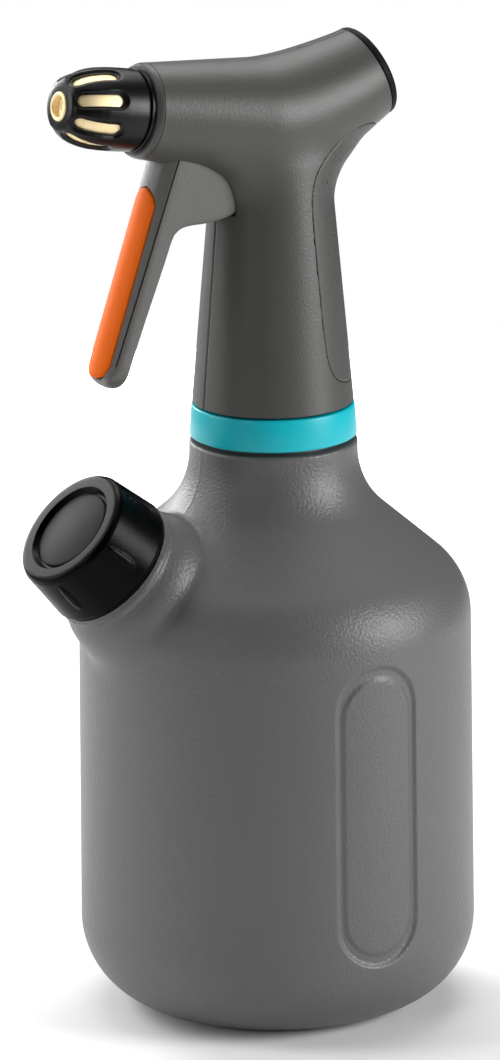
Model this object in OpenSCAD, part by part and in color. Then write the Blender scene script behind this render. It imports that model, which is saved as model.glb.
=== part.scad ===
// Hand pump sprayer: a one litre bottle with a side filler spout, and a trigger pump head on top.
// Millimetres, +Z up. Origin: centre of the bottle's base. The nozzle points to -X, and Y = 0 is the
// plane of symmetry.

/* [Bottle] */
// Radius of the bottle's body
bottle_r = 54; // [52:0.5:56]
// Wall thickness of the bottle
bottle_wall = 1.6; // [1.2:0.1:2]
// Radius of the rounded corner around the base
base_round = 24; // [20:1:26]
// Radius of the convex arc of the shoulder
shoulder_round = 21.5; // [21:0.1:22]
// Angle of the straight slope of the shoulder, from horizontal
shoulder_slope = 40.9; // [40:0.1:41.5]
// Radius of the neck below the collar
neck_r = 23.1; // [22.9:0.1:23.3]
// Radius of the concave arc that leads into the neck
neck_round = 22.8; // [22:0.1:23.4]
// Length of the straight neck under the rim
neck_len = 2.8; // [2.4:0.1:3.2]
// Height of the rim that the threaded finish stands on
rim_z = 159.5; // [159.2:0.1:159.8]
// Width of the oval groove on each side
oval_width = 25.7; // [24:0.1:27]
// Height of the oval groove
oval_height = 85.6; // [80:0.1:88]
// Width of the groove itself
oval_groove = 3; // [2:0.1:4]
// Depth of the groove
oval_depth = 0.8; // [0.4:0.1:1]

/* [Filler] */
// Angle of the filler spout above horizontal
filler_angle = 42.8; // [42:0.1:43.5]
// Height of the filler cap
filler_cap_h = 17.2; // [17:0.1:17.6]
// Radius of the cap at its open rim
filler_cap_r1 = 19.6; // [19.4:0.1:19.9]
// Radius of the cap at its face
filler_cap_r2 = 17.5; // [17.3:0.1:17.8]
// Inside radius of the spout
spout_bore_r = 12.8; // [11:0.1:13]
// Outside radius of the spout's finish, under its threads
spout_r = 15; // [14.8:0.1:15.1]
// Lead of the filler thread
filler_pitch = 3.2; // [3:0.1:3.4]

/* [Collar] */
// Outside radius of the collar nut
collar_r = 22.5; // [22.3:0.1:22.8]
// Height of the collar nut's lower edge
collar_z = 160.8; // [160.4:0.1:161]
// Height of the collar nut
collar_h = 8.9; // [8.8:0.1:9]
// Outside radius of the bottle's finish, under its threads
finish_r = 19.4; // [19.2:0.1:19.5]

/* [Head] */
// Radius of the handle at its lower end
handle_r1 = 22.1; // [21.8:0.1:22.4]
// Radius of the handle at the height of the finger rest
handle_r2 = 17.8; // [17.6:0.1:18.2]
// Thickness of the housing
wall = 2.4; // [2.2:0.1:2.6]
// Radius of the barrel at its front edge
barrel_r1 = 13; // [12.9:0.1:13.2]
// Radius of the barrel over the handle
barrel_r2 = 16.3; // [16.1:0.1:16.6]
// Tilt of the barrel, nose up
barrel_tilt = 9.5; // [9:0.1:10]
// Thickness of the rear grip
grip_t = 1.2; // [0.8:0.1:1.4]
// Number of dimples down each side of the rear grip
dimples = 8; // [4:1:10]

/* [Trigger] */
// Width of the trigger
trigger_w = 14.5; // [14:0.1:15]
// Thickness of the trigger's walls
trigger_wall = 1.6; // [1.4:0.1:1.8]
// Travel of the trigger, in degrees
trigger_travel = 18; // [14:1:18]
// Radius of the pivot pin
pivot_r = 1.5; // [1.2:0.1:1.6]
// Thickness of the finger pad
pad_t = 1.2; // [0.8:0.1:1.4]

/* [Pump] */
// Bore radius of the pump cylinder
bore_r = 5.75; // [5.5:0.05:6]
// Wall thickness of the cylinder
cyl_wall = 1.75; // [1.4:0.05:1.8]
// Outside radius of the dip tube
tube_r = 3.5; // [3.2:0.1:3.6]
// Radius of the valve balls
ball_r = 2.2; // [2:0.1:2.3]
// Turns of the return spring
spring_turns = 8; // [6:1:9]

/* [Nozzle] */
// Radius of the nozzle cap at its rear
nozzle_r = 11; // [10.8:0.1:11.2]
// Distance from the barrel's front edge to the tip
nozzle_len = 26.1; // [26:0.1:26.4]
// Number of slots around the nozzle cap
slots = 8; // [6:1:8]
// Width of each slot
slot_w = 3.1; // [2.6:0.1:3.4]

/* [Hidden] */
$fn = 96;

// Colours
grey = [0.33, 0.34, 0.35];
black = [0.06, 0.06, 0.065];
teal = [0.35, 0.75, 0.76];
orange = [0.9, 0.33, 0.12];
brass = [0.85, 0.66, 0.36];
steel = [0.72, 0.73, 0.75];
clear_white = [0.88, 0.9, 0.9];
rubber = [0.12, 0.12, 0.12];

// Clearances: a shaft in its hole, faces that pass each other, pieces that are fixed together
run = 0.05;
slide_gap = 0.3;
fit = 0.1;
eps = 0.01;
far = 400;

// Bottle, worked out from the neck down
shoulder_c = bottle_r - shoulder_round;
slope_r1 = shoulder_c + shoulder_round*sin(shoulder_slope);
neck_c = neck_r + neck_round;
slope_r2 = neck_c - neck_round*sin(shoulder_slope);
neck_z = rim_z - neck_len;
slope_z2 = neck_z - neck_round*cos(shoulder_slope);
slope_z1 = slope_z2 - (slope_r1 - slope_r2)*tan(shoulder_slope);
shoulder_z = slope_z1 - shoulder_round*cos(shoulder_slope);
body_draft = 0.6;
foot_r = bottle_r + body_draft;
finish_h = 5.2;
finish_z = rim_z + finish_h;
neck_wall = 2;
neck_bore_r = finish_r - neck_wall;
thread_h = 0.8;
thread_w = 1.2;
neck_pitch = 1.8;
oval_z = 64.5;

// Filler: its frame's Z runs out along the spout from the cap's open rim
face_x = -64.6;
face_z = 143.4;
spout_x = face_x + filler_cap_h*cos(filler_angle);
spout_z = face_z - filler_cap_h*sin(filler_angle);
spout_h = 11.7;
spout_root = 26;
spout_threads = 3;
bead_r = 19.3;
seal_h = 1.6;
filler_bore_r = spout_r + thread_h + slide_gap;
recess_r = 13;
recess_h = 1.6;
disc_r = 11.7;
disc_h = 0.9;
rib_count = 6;

// Collar and neck
seal_t = 1.5;
flange_t = 2;
flange_r = finish_r - fit;
plug_r = 16.3;
plug_wall = 2.2;
skirt_h = 7;
skirt_wall = 1.6;
flange_z = finish_z + seal_t;
lip_z = flange_z + flange_t + slide_gap;
head_gap = 0.7;
head_z = collar_z + collar_h + head_gap;
floor_t = 2.6;
vent_x = -8;
vent_r = 1.2;

// Handle
waist_z = 219;
fillet_r = 13.5;
fillet_z = 226.3;
column_z = 239.6;
column_top = 245;
web_z = 225;
web_gain = 0.045;
ring_n = 56;

// Barrel: from the nose, straight to over the handle, then bent up to the tail
nose_x = -40.4;
nose_z = 255.6;
barrel_x2 = -6;
barrel_z2 = nose_z - (barrel_x2 - nose_x)*tan(barrel_tilt);
tail_tilt = 22;
tail_x = 29.2;
tail_z = 257.9;
tail_r = 13.2;
bend_rise = barrel_z2 - tail_z + barrel_x2*tan(barrel_tilt) + tail_x*tan(tail_tilt);
bend_x = bend_rise/(tan(barrel_tilt) + tan(tail_tilt));
bend_z = tail_z + (bend_x - tail_x)*tan(tail_tilt);
bend_steps = 8;
bore_out = 1.3;
end_turn = 4;
bulge_up = 1.25;
bulge_down = 2.8;
bulge_side = 0.8;

// Side view of the opening that the trigger swings in
slot_side = [[-38.3, 232], [-38.3, 248.6], [-10, 248.6], [-10, 224.3], [-21, 224.3]];
slot_gap = 0.5;

// Side view of the rear grip
grip_side = [[20, 176.4], [13.5, 176.6], [9.6, 177.8], [7.2, 180], [5.6, 183.6], [4.8, 188.5],
    [4.2, 196], [3.6, 207], [3, 218], [2.7, 226], [3.2, 231], [4.6, 235], [7.4, 238.6], [11.5, 241.8],
    [16.5, 244.6], [22, 246.6], [27, 246.4], [32, 244.4], [50, 232], [50, 176.6]];
grip_y = 30;
dimple_r = 0.9;
dimple_out = 0.5;
dimple_z = 208.6;
dimple_step = 4.8;
dimple_a = [51, 63];

// End cap
cap_t = 1.5;
cap_dome = 1;
cap_spigot = 4;

// Trigger
pivot_x = -31.5;
pivot_z = 248.5;
pin_y = 11.2;
boss_r = pivot_r + 2.3;
lever_tilt = 19.2;
lever_x = -37.5;
lever_z = 240.2;
lever_r = 9.5;
lever_web = 2.4;
lever_len = 57.5;
hood_z = 246;
trigger_y = trigger_w/2;
trigger_in = trigger_y - trigger_wall;
pad_w = 10.4;
pad_h = 52;
pad_mid = 31;
pad_proud = 0.3;

// Side view of the trigger
trigger_side = [[-54.8, 188], [-54.7, 185], [-53.5, 182.6], [-51.7, 181.8], [-50, 183], [-48.9, 186.6],
    [-46.8, 191.8], [-43.7, 199.7], [-40.4, 207.6], [-37.2, 215.4], [-35.7, 219.4], [-34.6, 221.8],
    [-32.6, 223.4], [-29.5, 223.9], [-24.9, 223.8], [-20.5, 224.3], [-17.2, 225.2], [-15.6, 226.8],
    [-15.5, 230], [-17.5, 234.5], [-29, 251.1], [-34.8, 249.1]];

// Side view of the space between the trigger's walls: behind the front, and all of it above hood_z
hood_up = (hood_z - lever_z + lever_web*sin(lever_tilt))/cos(lever_tilt);
trigger_space = [lever_at(lever_web, -lever_len), lever_at(lever_web, hood_up), [-far/4, hood_z],
    [-far/4, far], [far/4, far], lever_at(far/4, -lever_len)];

// Pump: a cylinder along X and a valve column along Z
cyl_z = 230;
cyl_x1 = -7;
cyl_x2 = 13;
cyl_r = bore_r + cyl_wall;
bore_x2 = 10.5;
port_x = 8.5;
port_r = 1.5;
chamber_r = 3.6;
chamber_wall = 2;
column_r = chamber_r + chamber_wall;
inlet_z1 = 214;
inlet_z2 = 221;
seat_z = 216;
seat_flange = 1.5;
barb_h = 10;
outlet_z1 = 238;
outlet_z2 = 253.2;
plug_z = 249.4;
plug_head = 1.4;
ball_hole_r = port_r + fit;
ball_up = sqrt(ball_r*ball_r - ball_hole_r*ball_hole_r) + fit;
gland_t = 1;
gland_h = 3;

// Lugs that hold the pump in the two halves of the housing
lug_x = 3;
lug_y = 9;
lug_z2 = 217.5;
lug_r = 4;
lug_w = 6;
lug_pin_r = 2;
lug_pin_y = 12;
lugs = [[lug_x, cyl_z], [port_x, lug_z2]];

// Piston and its rod, whose cross pin runs in two blind slots of the trigger
rod_r = 2.6;
rod_x = -30;
rod_pin_r = 1.25;
rod_depth = 1.1;
rod_end_gap = 0.2;
rod_ratio = 17.95; // travel of the rod per radian of the trigger
rod_collar_x = -24;
rod_collar_r = 4.6;
rod_collar_t = 1.5;
piston_x = -3;
piston_h = 4;
piston_r = bore_r - 0.75;
groove_r = bore_r - 2;
groove_w = 1.8;
groove_x = piston_x + 1.1;

// Springs
wire_r = 0.6;
valve_wire_r = 0.3;
valve_coil_r = 1.7;
valve_turns = 6;

// Tubes
tube_wall = 1;
tube_z1 = 12;
filter_h = 14;
filter_depth = 5;
outlet_s = (port_x - nose_x)/cos(barrel_tilt);
duct_r = 3;
duct_wall = 1.4;
duct_start = 9;
duct_end = 3.5;
socket_h = 13;

// Nozzle: its frame's Z runs out along the nozzle from the barrel's front edge
bezel_t = 1.9;
bezel_edge = 0.7;
bezel_r = barrel_r1 - bezel_edge;
flange_g = 1.2;
stem_r = 4.6;
stem_h = 13.6;
stem_plug = 3;
spigot_g = 6.8;
oring_g = 11.5;
oring_r = 0.85;
swirl_g = 9;
swirl_h = 7.5;
swirl_r = 2.3;
core_g = 4.6;
core_r = nozzle_r - 2.4;
tip_r = 4;
orifice_r = 0.5;
cap_g = bezel_t + flange_g + slide_gap;
cap_end = 25.7;
cap_skin = 1.5;
slot_turn = 0.48;
slot_g1 = 14.2;
slot_bed = 2;
slot_g2 = 22.9;
slot_rim = 0.8;
slot_rim_d = 0.9;
nozzle_side = [[nozzle_r - 0.4, cap_g], [nozzle_r, cap_g + 0.5], [nozzle_r, 7.5], [nozzle_r - 0.05, 10],
    [nozzle_r - 0.25, 13], [nozzle_r - 0.7, 16], [nozzle_r - 1.5, 19], [nozzle_r - 2.6, 22],
    [nozzle_r - 3.7, 24.2], [nozzle_r - 4.6, 25.3], [nozzle_r - 5.6, cap_end]];

// ---------------------------------------------------------------- helpers
// A body through a list of rings that all have the same number of points
module loft(rings) {
    n = len(rings[0]);
    last = (len(rings) - 1)*n;
    polyhedron(
        points = [for (r = rings) for (p = r) p],
        faces = concat(
            [[for (j = [0:n - 1]) j]],
            [[for (j = [n - 1:-1:0]) last + j]],
            [for (i = [0:len(rings) - 2]) for (j = [0:n - 1]) [i*n + j, (i + 1)*n + j, i*n + (j + 1)%n]],
            [for (i = [0:len(rings) - 2]) for (j = [0:n - 1])
                [(i + 1)*n + j, (i + 1)*n + (j + 1)%n, i*n + (j + 1)%n]]),
        convexity = 8);
}

module tube(h, r, bore) {
    difference() {
        cylinder(h = h, r = r);
        translate([0, 0, -eps]) cylinder(h = h + 2*eps, r = bore);
    }
}

// An outline in side view drawn out to both sides of Y = 0
module across(pts, y) {
    translate([0, y, 0]) rotate([90, 0, 0]) linear_extrude(2*y) polygon(pts);
}

// All that lies more than y to the left of Y = 0
module half_space(y) {
    translate([-far/2, -far - y, 0]) cube(far);
}

// A round bar across the part, centred on Y = 0
module cross_bar(x, z, r, y) {
    translate([x, y, z]) rotate([90, 0, 0]) cylinder(h = 2*y, r = r);
}

// A coil spring along +Z with ground ends
module coil(h, r, wire, turns, sides = 8, steps = 20) {
    n = turns*steps;
    lift = h - 2*wire;
    intersection() {
        loft([for (i = [0:n]) let (a = 360*i/steps, z = wire + lift*coil_rise(i/n))
            [for (j = [0:sides - 1]) let (b = 360*j/sides, s = r + wire*cos(b))
                [s*cos(a), s*sin(a), z - wire*sin(b)]]]);
        cylinder(h = h, r = r + 2*wire);
    }
}

// Share of the height reached at share q of the wire: the first and last turn lie almost flat
function coil_rise(q, flat = 0.12, share = 0.02) = q < flat ? share*q/flat
    : q > 1 - flat ? 1 - share*(1 - q)/flat
    : share + (1 - 2*share)*(q - flat)/(1 - 2*flat);

module in_filler() {
    translate([spout_x, 0, spout_z]) rotate([0, filler_angle - 90, 0]) children();
}

module in_nozzle() {
    translate([nose_x, 0, nose_z]) rotate([0, barrel_tilt - 90, 0]) children();
}

module in_tail() {
    translate([tail_x, 0, tail_z]) rotate([0, 90 - tail_tilt, 0]) children();
}

module in_lever() {
    translate([lever_x, 0, lever_z]) rotate([0, lever_tilt, 0]) children();
}

// An arc of points from angle a1 to a2 around [x, y]
function arc(x, y, r, a1, a2, n = 10) = [for (i = [0:n]) let (a = a1 + (a2 - a1)*i/n)
    [x + r*cos(a), y + r*sin(a)]];

// ---------------------------------------------------------------- bottle
// Half section of the bottle, drawn in by d all round
function bottle_half(d) = concat(
    [[0, d]],
    arc(foot_r - base_round, base_round, base_round - d, -90, 0),
    arc(shoulder_c, shoulder_z, shoulder_round - d, 0, 90 - shoulder_slope),
    arc(neck_c, neck_z, neck_round + d, 270 - shoulder_slope, 180),
    [[neck_r - d, rim_z - d]],
    [[0, rim_z - d]]);

module spout_outside() {
    rotate_extrude() polygon(concat(
        [[0, -spout_root], [bead_r + 7, -spout_root], [bead_r + 3.4, -spout_root/2], [bead_r + 0.9, -8]],
        [[bead_r - 0.5, -3.4], [bead_r, -3], [bead_r, -1.2], [bead_r - 0.6, -0.6]],
        [[spout_r, -0.6], [spout_r, spout_h], [0, spout_h]]));
}

// Thread drawn as closed rings
module thread_rings(r, z1, count, pitch) {
    for (i = [0:count - 1]) translate([0, 0, z1 + i*pitch]) rotate_extrude()
        polygon([[r - thread_h, -0.4*thread_w], [r + thread_h, 0.2*thread_w],
            [r + thread_h, 0.8*thread_w], [r - thread_h, 1.4*thread_w]]);
}

module stadium(w, h) {
    translate([0, h/2 - w/2]) circle(d = w);
    translate([0, w/2 - h/2]) circle(d = w);
    square([w, h - w], center = true);
}

module oval_cut() {
    intersection() {
        translate([0, 0, oval_z]) rotate([90, 0, 0]) translate([0, 0, -far/2]) linear_extrude(far)
            difference() {
                stadium(oval_width, oval_height);
                stadium(oval_width - 2*oval_groove, oval_height - 2*oval_groove);
            }
        difference() {
            cylinder(h = 2*oval_z, r = far);
            translate([0, 0, -eps]) cylinder(h = 2*oval_z + 1, r = bottle_r - oval_depth + body_draft/2);
        }
    }
}

module bottle() {
    color(grey) difference() {
        union() {
            rotate_extrude() polygon(bottle_half(0));
            intersection() {
                in_filler() spout_outside();
                cylinder(h = far, r = far);
            }
            cylinder(h = finish_z, r = finish_r);
            thread_rings(finish_r, collar_z + 0.4, 2, neck_pitch);
            in_filler() thread_rings(spout_r, 2.6, spout_threads, filler_pitch);
        }
        rotate_extrude() polygon(bottle_half(bottle_wall));
        translate([0, 0, neck_z]) cylinder(h = far, r = neck_bore_r);
        in_filler() translate([0, 0, -spout_root]) cylinder(h = far, r = spout_bore_r);
        oval_cut();
    }
}

// ---------------------------------------------------------------- filler
function cap_r(t) = filler_cap_r1 + (filler_cap_r2 - filler_cap_r1)*t/filler_cap_h;

module filler_cap() {
    panel = 0.5;
    band = 3.4;
    step = 0.6;
    edge = 1.4;
    cone = atan((filler_cap_r1 - filler_cap_r2)/filler_cap_h);
    top = filler_cap_h;
    color(black) in_filler() difference() {
        union() {
            rotate_extrude() polygon(concat(
                [[0, 0], [cap_r(0) - panel, 0], [cap_r(0), panel], [cap_r(0.9), 0.9]],
                [[cap_r(1.5) - panel, 1.5], [cap_r(top - band - step) - panel, top - band - step]],
                [[cap_r(top - band), top - band], [cap_r(top - edge), top - edge]],
                arc(cap_r(top) - edge, top - edge, edge, 20, 90, 5),
                [[0, top]]));
            for (i = [0:rib_count - 1]) rotate([0, 0, (i + 0.5)*360/rib_count])
                translate([cap_r(0) - panel - fit, 0, step]) rotate([0, -cone, 0])
                    cylinder(h = top - band, r = panel);
        }
        translate([0, 0, -eps]) cylinder(h = spout_h + seal_h + eps, r = filler_bore_r);
        translate([0, 0, top - recess_h]) tube(recess_h + eps, recess_r, disc_r);
        translate([0, 0, top - disc_h]) cylinder(h = 2*disc_h, r = disc_r + eps);
    }
}

module filler_seal() {
    color(rubber) in_filler() translate([0, 0, spout_h]) cylinder(h = seal_h, r = filler_bore_r - fit);
}

// ---------------------------------------------------------------- collar and neck
module collar_nut() {
    edge = 0.9;
    inside = finish_r + thread_h + slide_gap;
    color(teal) difference() {
        translate([0, 0, collar_z]) rotate_extrude() polygon(concat(
            [[0, 0], [collar_r - edge, 0]],
            arc(collar_r - edge, edge, edge, -90, 0, 4),
            arc(collar_r - edge, collar_h - edge, edge, 0, 90, 4),
            [[0, collar_h]]));
        translate([0, 0, collar_z - eps]) cylinder(h = lip_z - collar_z + eps, r = inside);
        translate([0, 0, collar_z]) cylinder(h = collar_h + eps, r = plug_r + slide_gap);
    }
}

module neck_seal() {
    color(rubber) translate([0, 0, finish_z]) tube(seal_t, flange_r, neck_bore_r);
}

module neck_plug() {
    skirt_r = neck_bore_r - slide_gap;
    lip_h = 1.6;
    lip_out = 1.7;
    color(clear_white) difference() {
        union() {
            translate([0, 0, flange_z]) cylinder(h = flange_t, r = flange_r);
            translate([0, 0, flange_z]) cylinder(h = head_z + floor_t - flange_z, r = plug_r);
            translate([0, 0, head_z + floor_t]) cylinder(h = lip_h, r = plug_r + lip_out);
            translate([0, 0, flange_z - skirt_h]) cylinder(h = skirt_h + eps, r = skirt_r);
        }
        translate([0, 0, flange_z + flange_t]) cylinder(h = far, r = plug_r - plug_wall);
        translate([0, 0, flange_z - skirt_h - eps]) cylinder(h = skirt_h + eps, r = skirt_r - skirt_wall);
        translate([port_x, 0, 0]) cylinder(h = far, r = tube_r + run);
        translate([vent_x, 0, 0]) cylinder(h = far, r = vent_r);
    }
}

module vent_valve() {
    dome_t = 1;
    dome_r = 3.4;
    tail_h = 1.4;
    hook = 0.6;
    color(rubber) translate([vent_x, 0, flange_z]) {
        translate([0, 0, -dome_t]) cylinder(h = dome_t, r1 = dome_r - dome_t, r2 = dome_r);
        cylinder(h = flange_t, r = vent_r);
        translate([0, 0, flange_t]) cylinder(h = tail_h, r1 = vent_r + hook, r2 = hook);
    }
}

// ---------------------------------------------------------------- head
// Radius of the handle's cone, and how far the handle reaches to the front and to the back
function cone_r(z) = handle_r1 + (handle_r2 - handle_r1)*(z - head_z)/(waist_z - head_z);
function fillet_front(z) = z < fillet_z ? cone_r(z)
    : cone_r(fillet_z) + fillet_r - sqrt(pow(fillet_r, 2) - pow(z - fillet_z, 2));
function column_front(z) = fillet_front(min(z, column_z));
function column_back(z) = cone_r(z) + web_gain*pow(max(0, min(z, column_z) - web_z), 2);

function column_ring(z, d) = [for (j = [0:ring_n - 1]) let (a = 360*j/ring_n, c = cos(a))
    [c*((c < 0 ? column_front(z) : column_back(z)) - d), (cone_r(z) - d)*sin(a), z]];

// Ring across the barrel: centre, tilt, and radii above, below and to the side
function barrel_ring(x, z, tilt, up, down, side) = [for (j = [0:ring_n - 1])
    let (a = 360*j/ring_n, s = sin(a), h = s < 0 ? down*s : up*s)
        [x - h*sin(tilt), side*cos(a), z + h*cos(tilt)]];

function curve(a, b, c, u) = (1 - u)*(1 - u)*a + 2*u*(1 - u)*b + u*u*c;
function curve_tilt(u) = atan2((1 - u)*(bend_z - barrel_z2) + u*(tail_z - bend_z),
    (1 - u)*(bend_x - barrel_x2) + u*(tail_x - bend_x));
function taper(u, bulge) = barrel_r2 + (tail_r - barrel_r2)*u + 4*bulge*u*(1 - u);
function round_ring(x, z, tilt, r) = barrel_ring(x, z, tilt, r, r, r);

// Rings along the barrel, drawn in by d all round. For a bore, the end rings lie beyond the nose and the
// tail by out, and turned a little, so that no edge of the bore runs along the face that it opens through
function barrel_rings(d, out = 0) = concat(
    [round_ring(nose_x - out*cos(barrel_tilt), nose_z + out*sin(barrel_tilt),
        -barrel_tilt + end_turn*out, barrel_r1 - d)],
    [for (i = [0:bend_steps - (out > 0 ? 1 : 0)]) let (u = i/bend_steps)
        barrel_ring(curve(barrel_x2, bend_x, tail_x, u), curve(barrel_z2, bend_z, tail_z, u),
            curve_tilt(u), taper(u, bulge_up) - d, taper(u, bulge_down) - d, taper(u, bulge_side) - d)],
    out == 0 ? [] : [round_ring(tail_x + out*cos(tail_tilt), tail_z + out*sin(tail_tilt),
        tail_tilt - end_turn*out, tail_r - d)]);

// The outside of handle and barrel, drawn in by d all round, with the handle starting at z1
module head_solid(d, z1, out = 0) {
    loft([for (z = concat([z1], [for (i = [0:9]) waist_z + 2*i], [column_z, column_top])) column_ring(z, d)]);
    loft(barrel_rings(d, out));
}

// All that lies outside the bed of the rear grip
module grip_space() {
    difference() {
        across(grip_side, grip_y);
        head_solid(grip_t, head_z - 1, bore_out);
    }
}

// The left half of the housing; the right half is its mirror image
module housing_half() {
    inside_y = trigger_y + slot_gap;
    resize([0, 0, 0]) difference() {
        union() {
            difference() {
                head_solid(0, head_z);
                head_solid(wall, head_z + floor_t, bore_out);
                intersection() {
                    across(slot_side, inside_y);
                    lever_envelope(slot_gap);
                }
            }
            intersection() {
                head_solid(wall/2, head_z);
                union() {
                    cross_bar(pivot_x, pivot_z, boss_r, far/2);
                    for (p = lugs) cross_bar(p[0], p[1], lug_r, far/2);
                }
                half_space(inside_y);
            }
        }
        translate([0, 0, head_z - 1]) cylinder(h = floor_t + 2, r = plug_r + fit);
        cross_bar(pivot_x, pivot_z, pivot_r + run, pin_y + fit);
        for (p = lugs) {
            cross_bar(p[0], p[1], lug_r + fit, lug_y);
            cross_bar(p[0], p[1], lug_pin_r + fit, lug_pin_y + fit);
        }
        grip_space();
        mirror([0, 1, 0]) half_space(0);
    }
}

module shell_left() {
    color(grey) housing_half();
}

module shell_right() {
    color(grey) mirror([0, 1, 0]) housing_half();
}

module rear_grip() {
    color(grey) resize([0, 0, 0]) difference() {
        intersection() {
            head_solid(0, head_z);
            grip_space();
        }
        for (i = [0:dimples - 1], side = [-1, 1]) let (z = dimple_z + dimple_step*i, a = side*dimple_a[i%2])
            translate([(column_back(z) + dimple_out)*cos(a), (cone_r(z) + dimple_out)*sin(a), z])
                sphere(r = dimple_r, $fn = 10);
    }
}

module end_cap() {
    spigot_r = tail_r - wall - fit;
    color(black) in_tail() {
        rotate_extrude() polygon(concat([[0, 0], [tail_r, 0], [tail_r, cap_t]],
            [for (a = [15:15:90]) [tail_r*cos(a), cap_t + cap_dome*sin(a)]]));
        translate([0, 0, -cap_spigot]) tube(cap_spigot + eps, spigot_r, spigot_r - 1.5);
    }
}

module nose_ring() {
    bore = barrel_r1 - wall;
    color(grey) in_nozzle() rotate_extrude()
        polygon([[bore, 0], [barrel_r1, 0], [barrel_r1, 0.3], [bezel_r, bezel_t], [bore, bezel_t]]);
}

// ---------------------------------------------------------------- pump
module in_pump() {
    translate([0, 0, cyl_z]) rotate([0, 90, 0]) children();
}

module pump_body() {
    color(clear_white) difference() {
        union() {
            in_pump() translate([0, 0, cyl_x1]) cylinder(h = cyl_x2 - cyl_x1, r = cyl_r);
            translate([port_x, 0, inlet_z1]) cylinder(h = outlet_z2 - inlet_z1, r = column_r);
            in_nozzle() translate([0, 0, -outlet_s]) cylinder(h = socket_h, r = duct_r + duct_wall);
            for (p = lugs) {
                translate([p[0] - lug_w/2, -lug_y, p[1] - lug_w/2]) cube([lug_w, 2*lug_y, lug_w]);
                for (side = [-1, 1]) translate([p[0], side*(lug_y - 1), p[1]]) rotate([-90*side, 0, 0])
                    cylinder(h = lug_pin_y - lug_y + 1, r = lug_pin_r);
            }
        }
        in_pump() translate([0, 0, cyl_x1 - eps]) cylinder(h = bore_x2 - cyl_x1 + eps, r = bore_r);
        translate([port_x, 0, inlet_z1 - eps]) cylinder(h = inlet_z2 - inlet_z1 + eps, r = chamber_r);
        translate([port_x, 0, inlet_z1]) cylinder(h = outlet_z1 - inlet_z1 + 1, r = port_r);
        translate([port_x, 0, outlet_z1]) cylinder(h = outlet_z2 - outlet_z1 + eps, r = chamber_r);
        in_nozzle() translate([0, 0, -outlet_s]) cylinder(h = socket_h, r = duct_r - tube_wall);
        in_nozzle() translate([0, 0, duct_start - outlet_s]) cylinder(h = socket_h, r = duct_r);
    }
}

module gland() {
    color(black) in_pump() {
        translate([0, 0, cyl_x1 - gland_t]) tube(gland_t, cyl_r - slide_gap, rod_r + run);
        translate([0, 0, cyl_x1]) tube(gland_h, bore_r - run, rod_r + run);
    }
}

module piston() {
    color(clear_white) {
        difference() {
            in_pump() {
                translate([0, 0, rod_x]) cylinder(h = piston_x + 1 - rod_x, r = rod_r);
                translate([0, 0, rod_collar_x - rod_collar_t]) cylinder(h = rod_collar_t, r = rod_collar_r);
                translate([0, 0, piston_x]) cylinder(h = piston_h, r = piston_r);
                translate([0, 0, rod_x]) sphere(r = rod_r);
            }
            in_pump() translate([0, 0, groove_x]) tube(groove_w, bore_r, groove_r);
        }
        cross_bar(rod_x, cyl_z, rod_pin_r, trigger_in + rod_depth - rod_end_gap);
    }
}

module piston_seal() {
    color(rubber) in_pump() translate([0, 0, groove_x + run])
        tube(groove_w - 2*run, bore_r - run, groove_r + run);
}

module return_spring() {
    color(steel) translate([rod_collar_x, 0, cyl_z]) rotate([0, 90, 0])
        coil(cyl_x1 - gland_t - rod_collar_x, rod_collar_r - wire_r, wire_r, spring_turns);
}

module inlet_seat() {
    color(clear_white) translate([port_x, 0, 0]) difference() {
        union() {
            translate([0, 0, inlet_z1]) cylinder(h = seat_z - inlet_z1, r = chamber_r - run);
            translate([0, 0, inlet_z1 - seat_flange]) cylinder(h = seat_flange, r = column_r);
            translate([0, 0, inlet_z1 - barb_h]) cylinder(h = barb_h - eps, r = tube_r - tube_wall - run);
        }
        cylinder(h = far, r = ball_hole_r);
    }
}

module inlet_ball() {
    color(steel) translate([port_x, 0, seat_z + ball_up]) sphere(r = ball_r);
}

module outlet_ball() {
    color(steel) translate([port_x, 0, outlet_z1 + ball_up]) sphere(r = ball_r);
}

module outlet_spring() {
    foot = outlet_z1 + ball_up + ball_r + fit;
    color(steel) translate([port_x, 0, foot])
        coil(plug_z - foot, valve_coil_r, valve_wire_r, valve_turns, 6, 16);
}

module outlet_plug() {
    color(black) translate([port_x, 0, plug_z]) {
        cylinder(h = outlet_z2 - plug_z, r = chamber_r - run);
        translate([0, 0, outlet_z2 - plug_z]) cylinder(h = plug_head, r = column_r);
    }
}

module dip_tube() {
    color(clear_white) translate([port_x, 0, tube_z1])
        tube(inlet_z1 - seat_flange - tube_z1, tube_r, tube_r - tube_wall);
}

module tube_filter() {
    skin = 1.6;
    foot_t = 1.4;
    slit = 1;
    slit_h = 2.4;
    color(black) translate([port_x, 0, tube_z1 - filter_depth]) difference() {
        cylinder(h = filter_h, r = tube_r + skin);
        translate([0, 0, filter_depth]) cylinder(h = filter_h, r = tube_r + run);
        translate([0, 0, foot_t]) cylinder(h = filter_depth, r = tube_r - tube_wall);
        for (i = [0:5]) rotate([0, 0, 60*i]) translate([0, -slit/2, foot_t + slit/2])
            cube([2*tube_r, slit, slit_h]);
    }
}

module outlet_tube() {
    color(clear_white) in_nozzle() translate([0, 0, duct_start - outlet_s])
        tube(outlet_s - duct_start - duct_end, duct_r - run, duct_r - tube_wall);
}

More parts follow.
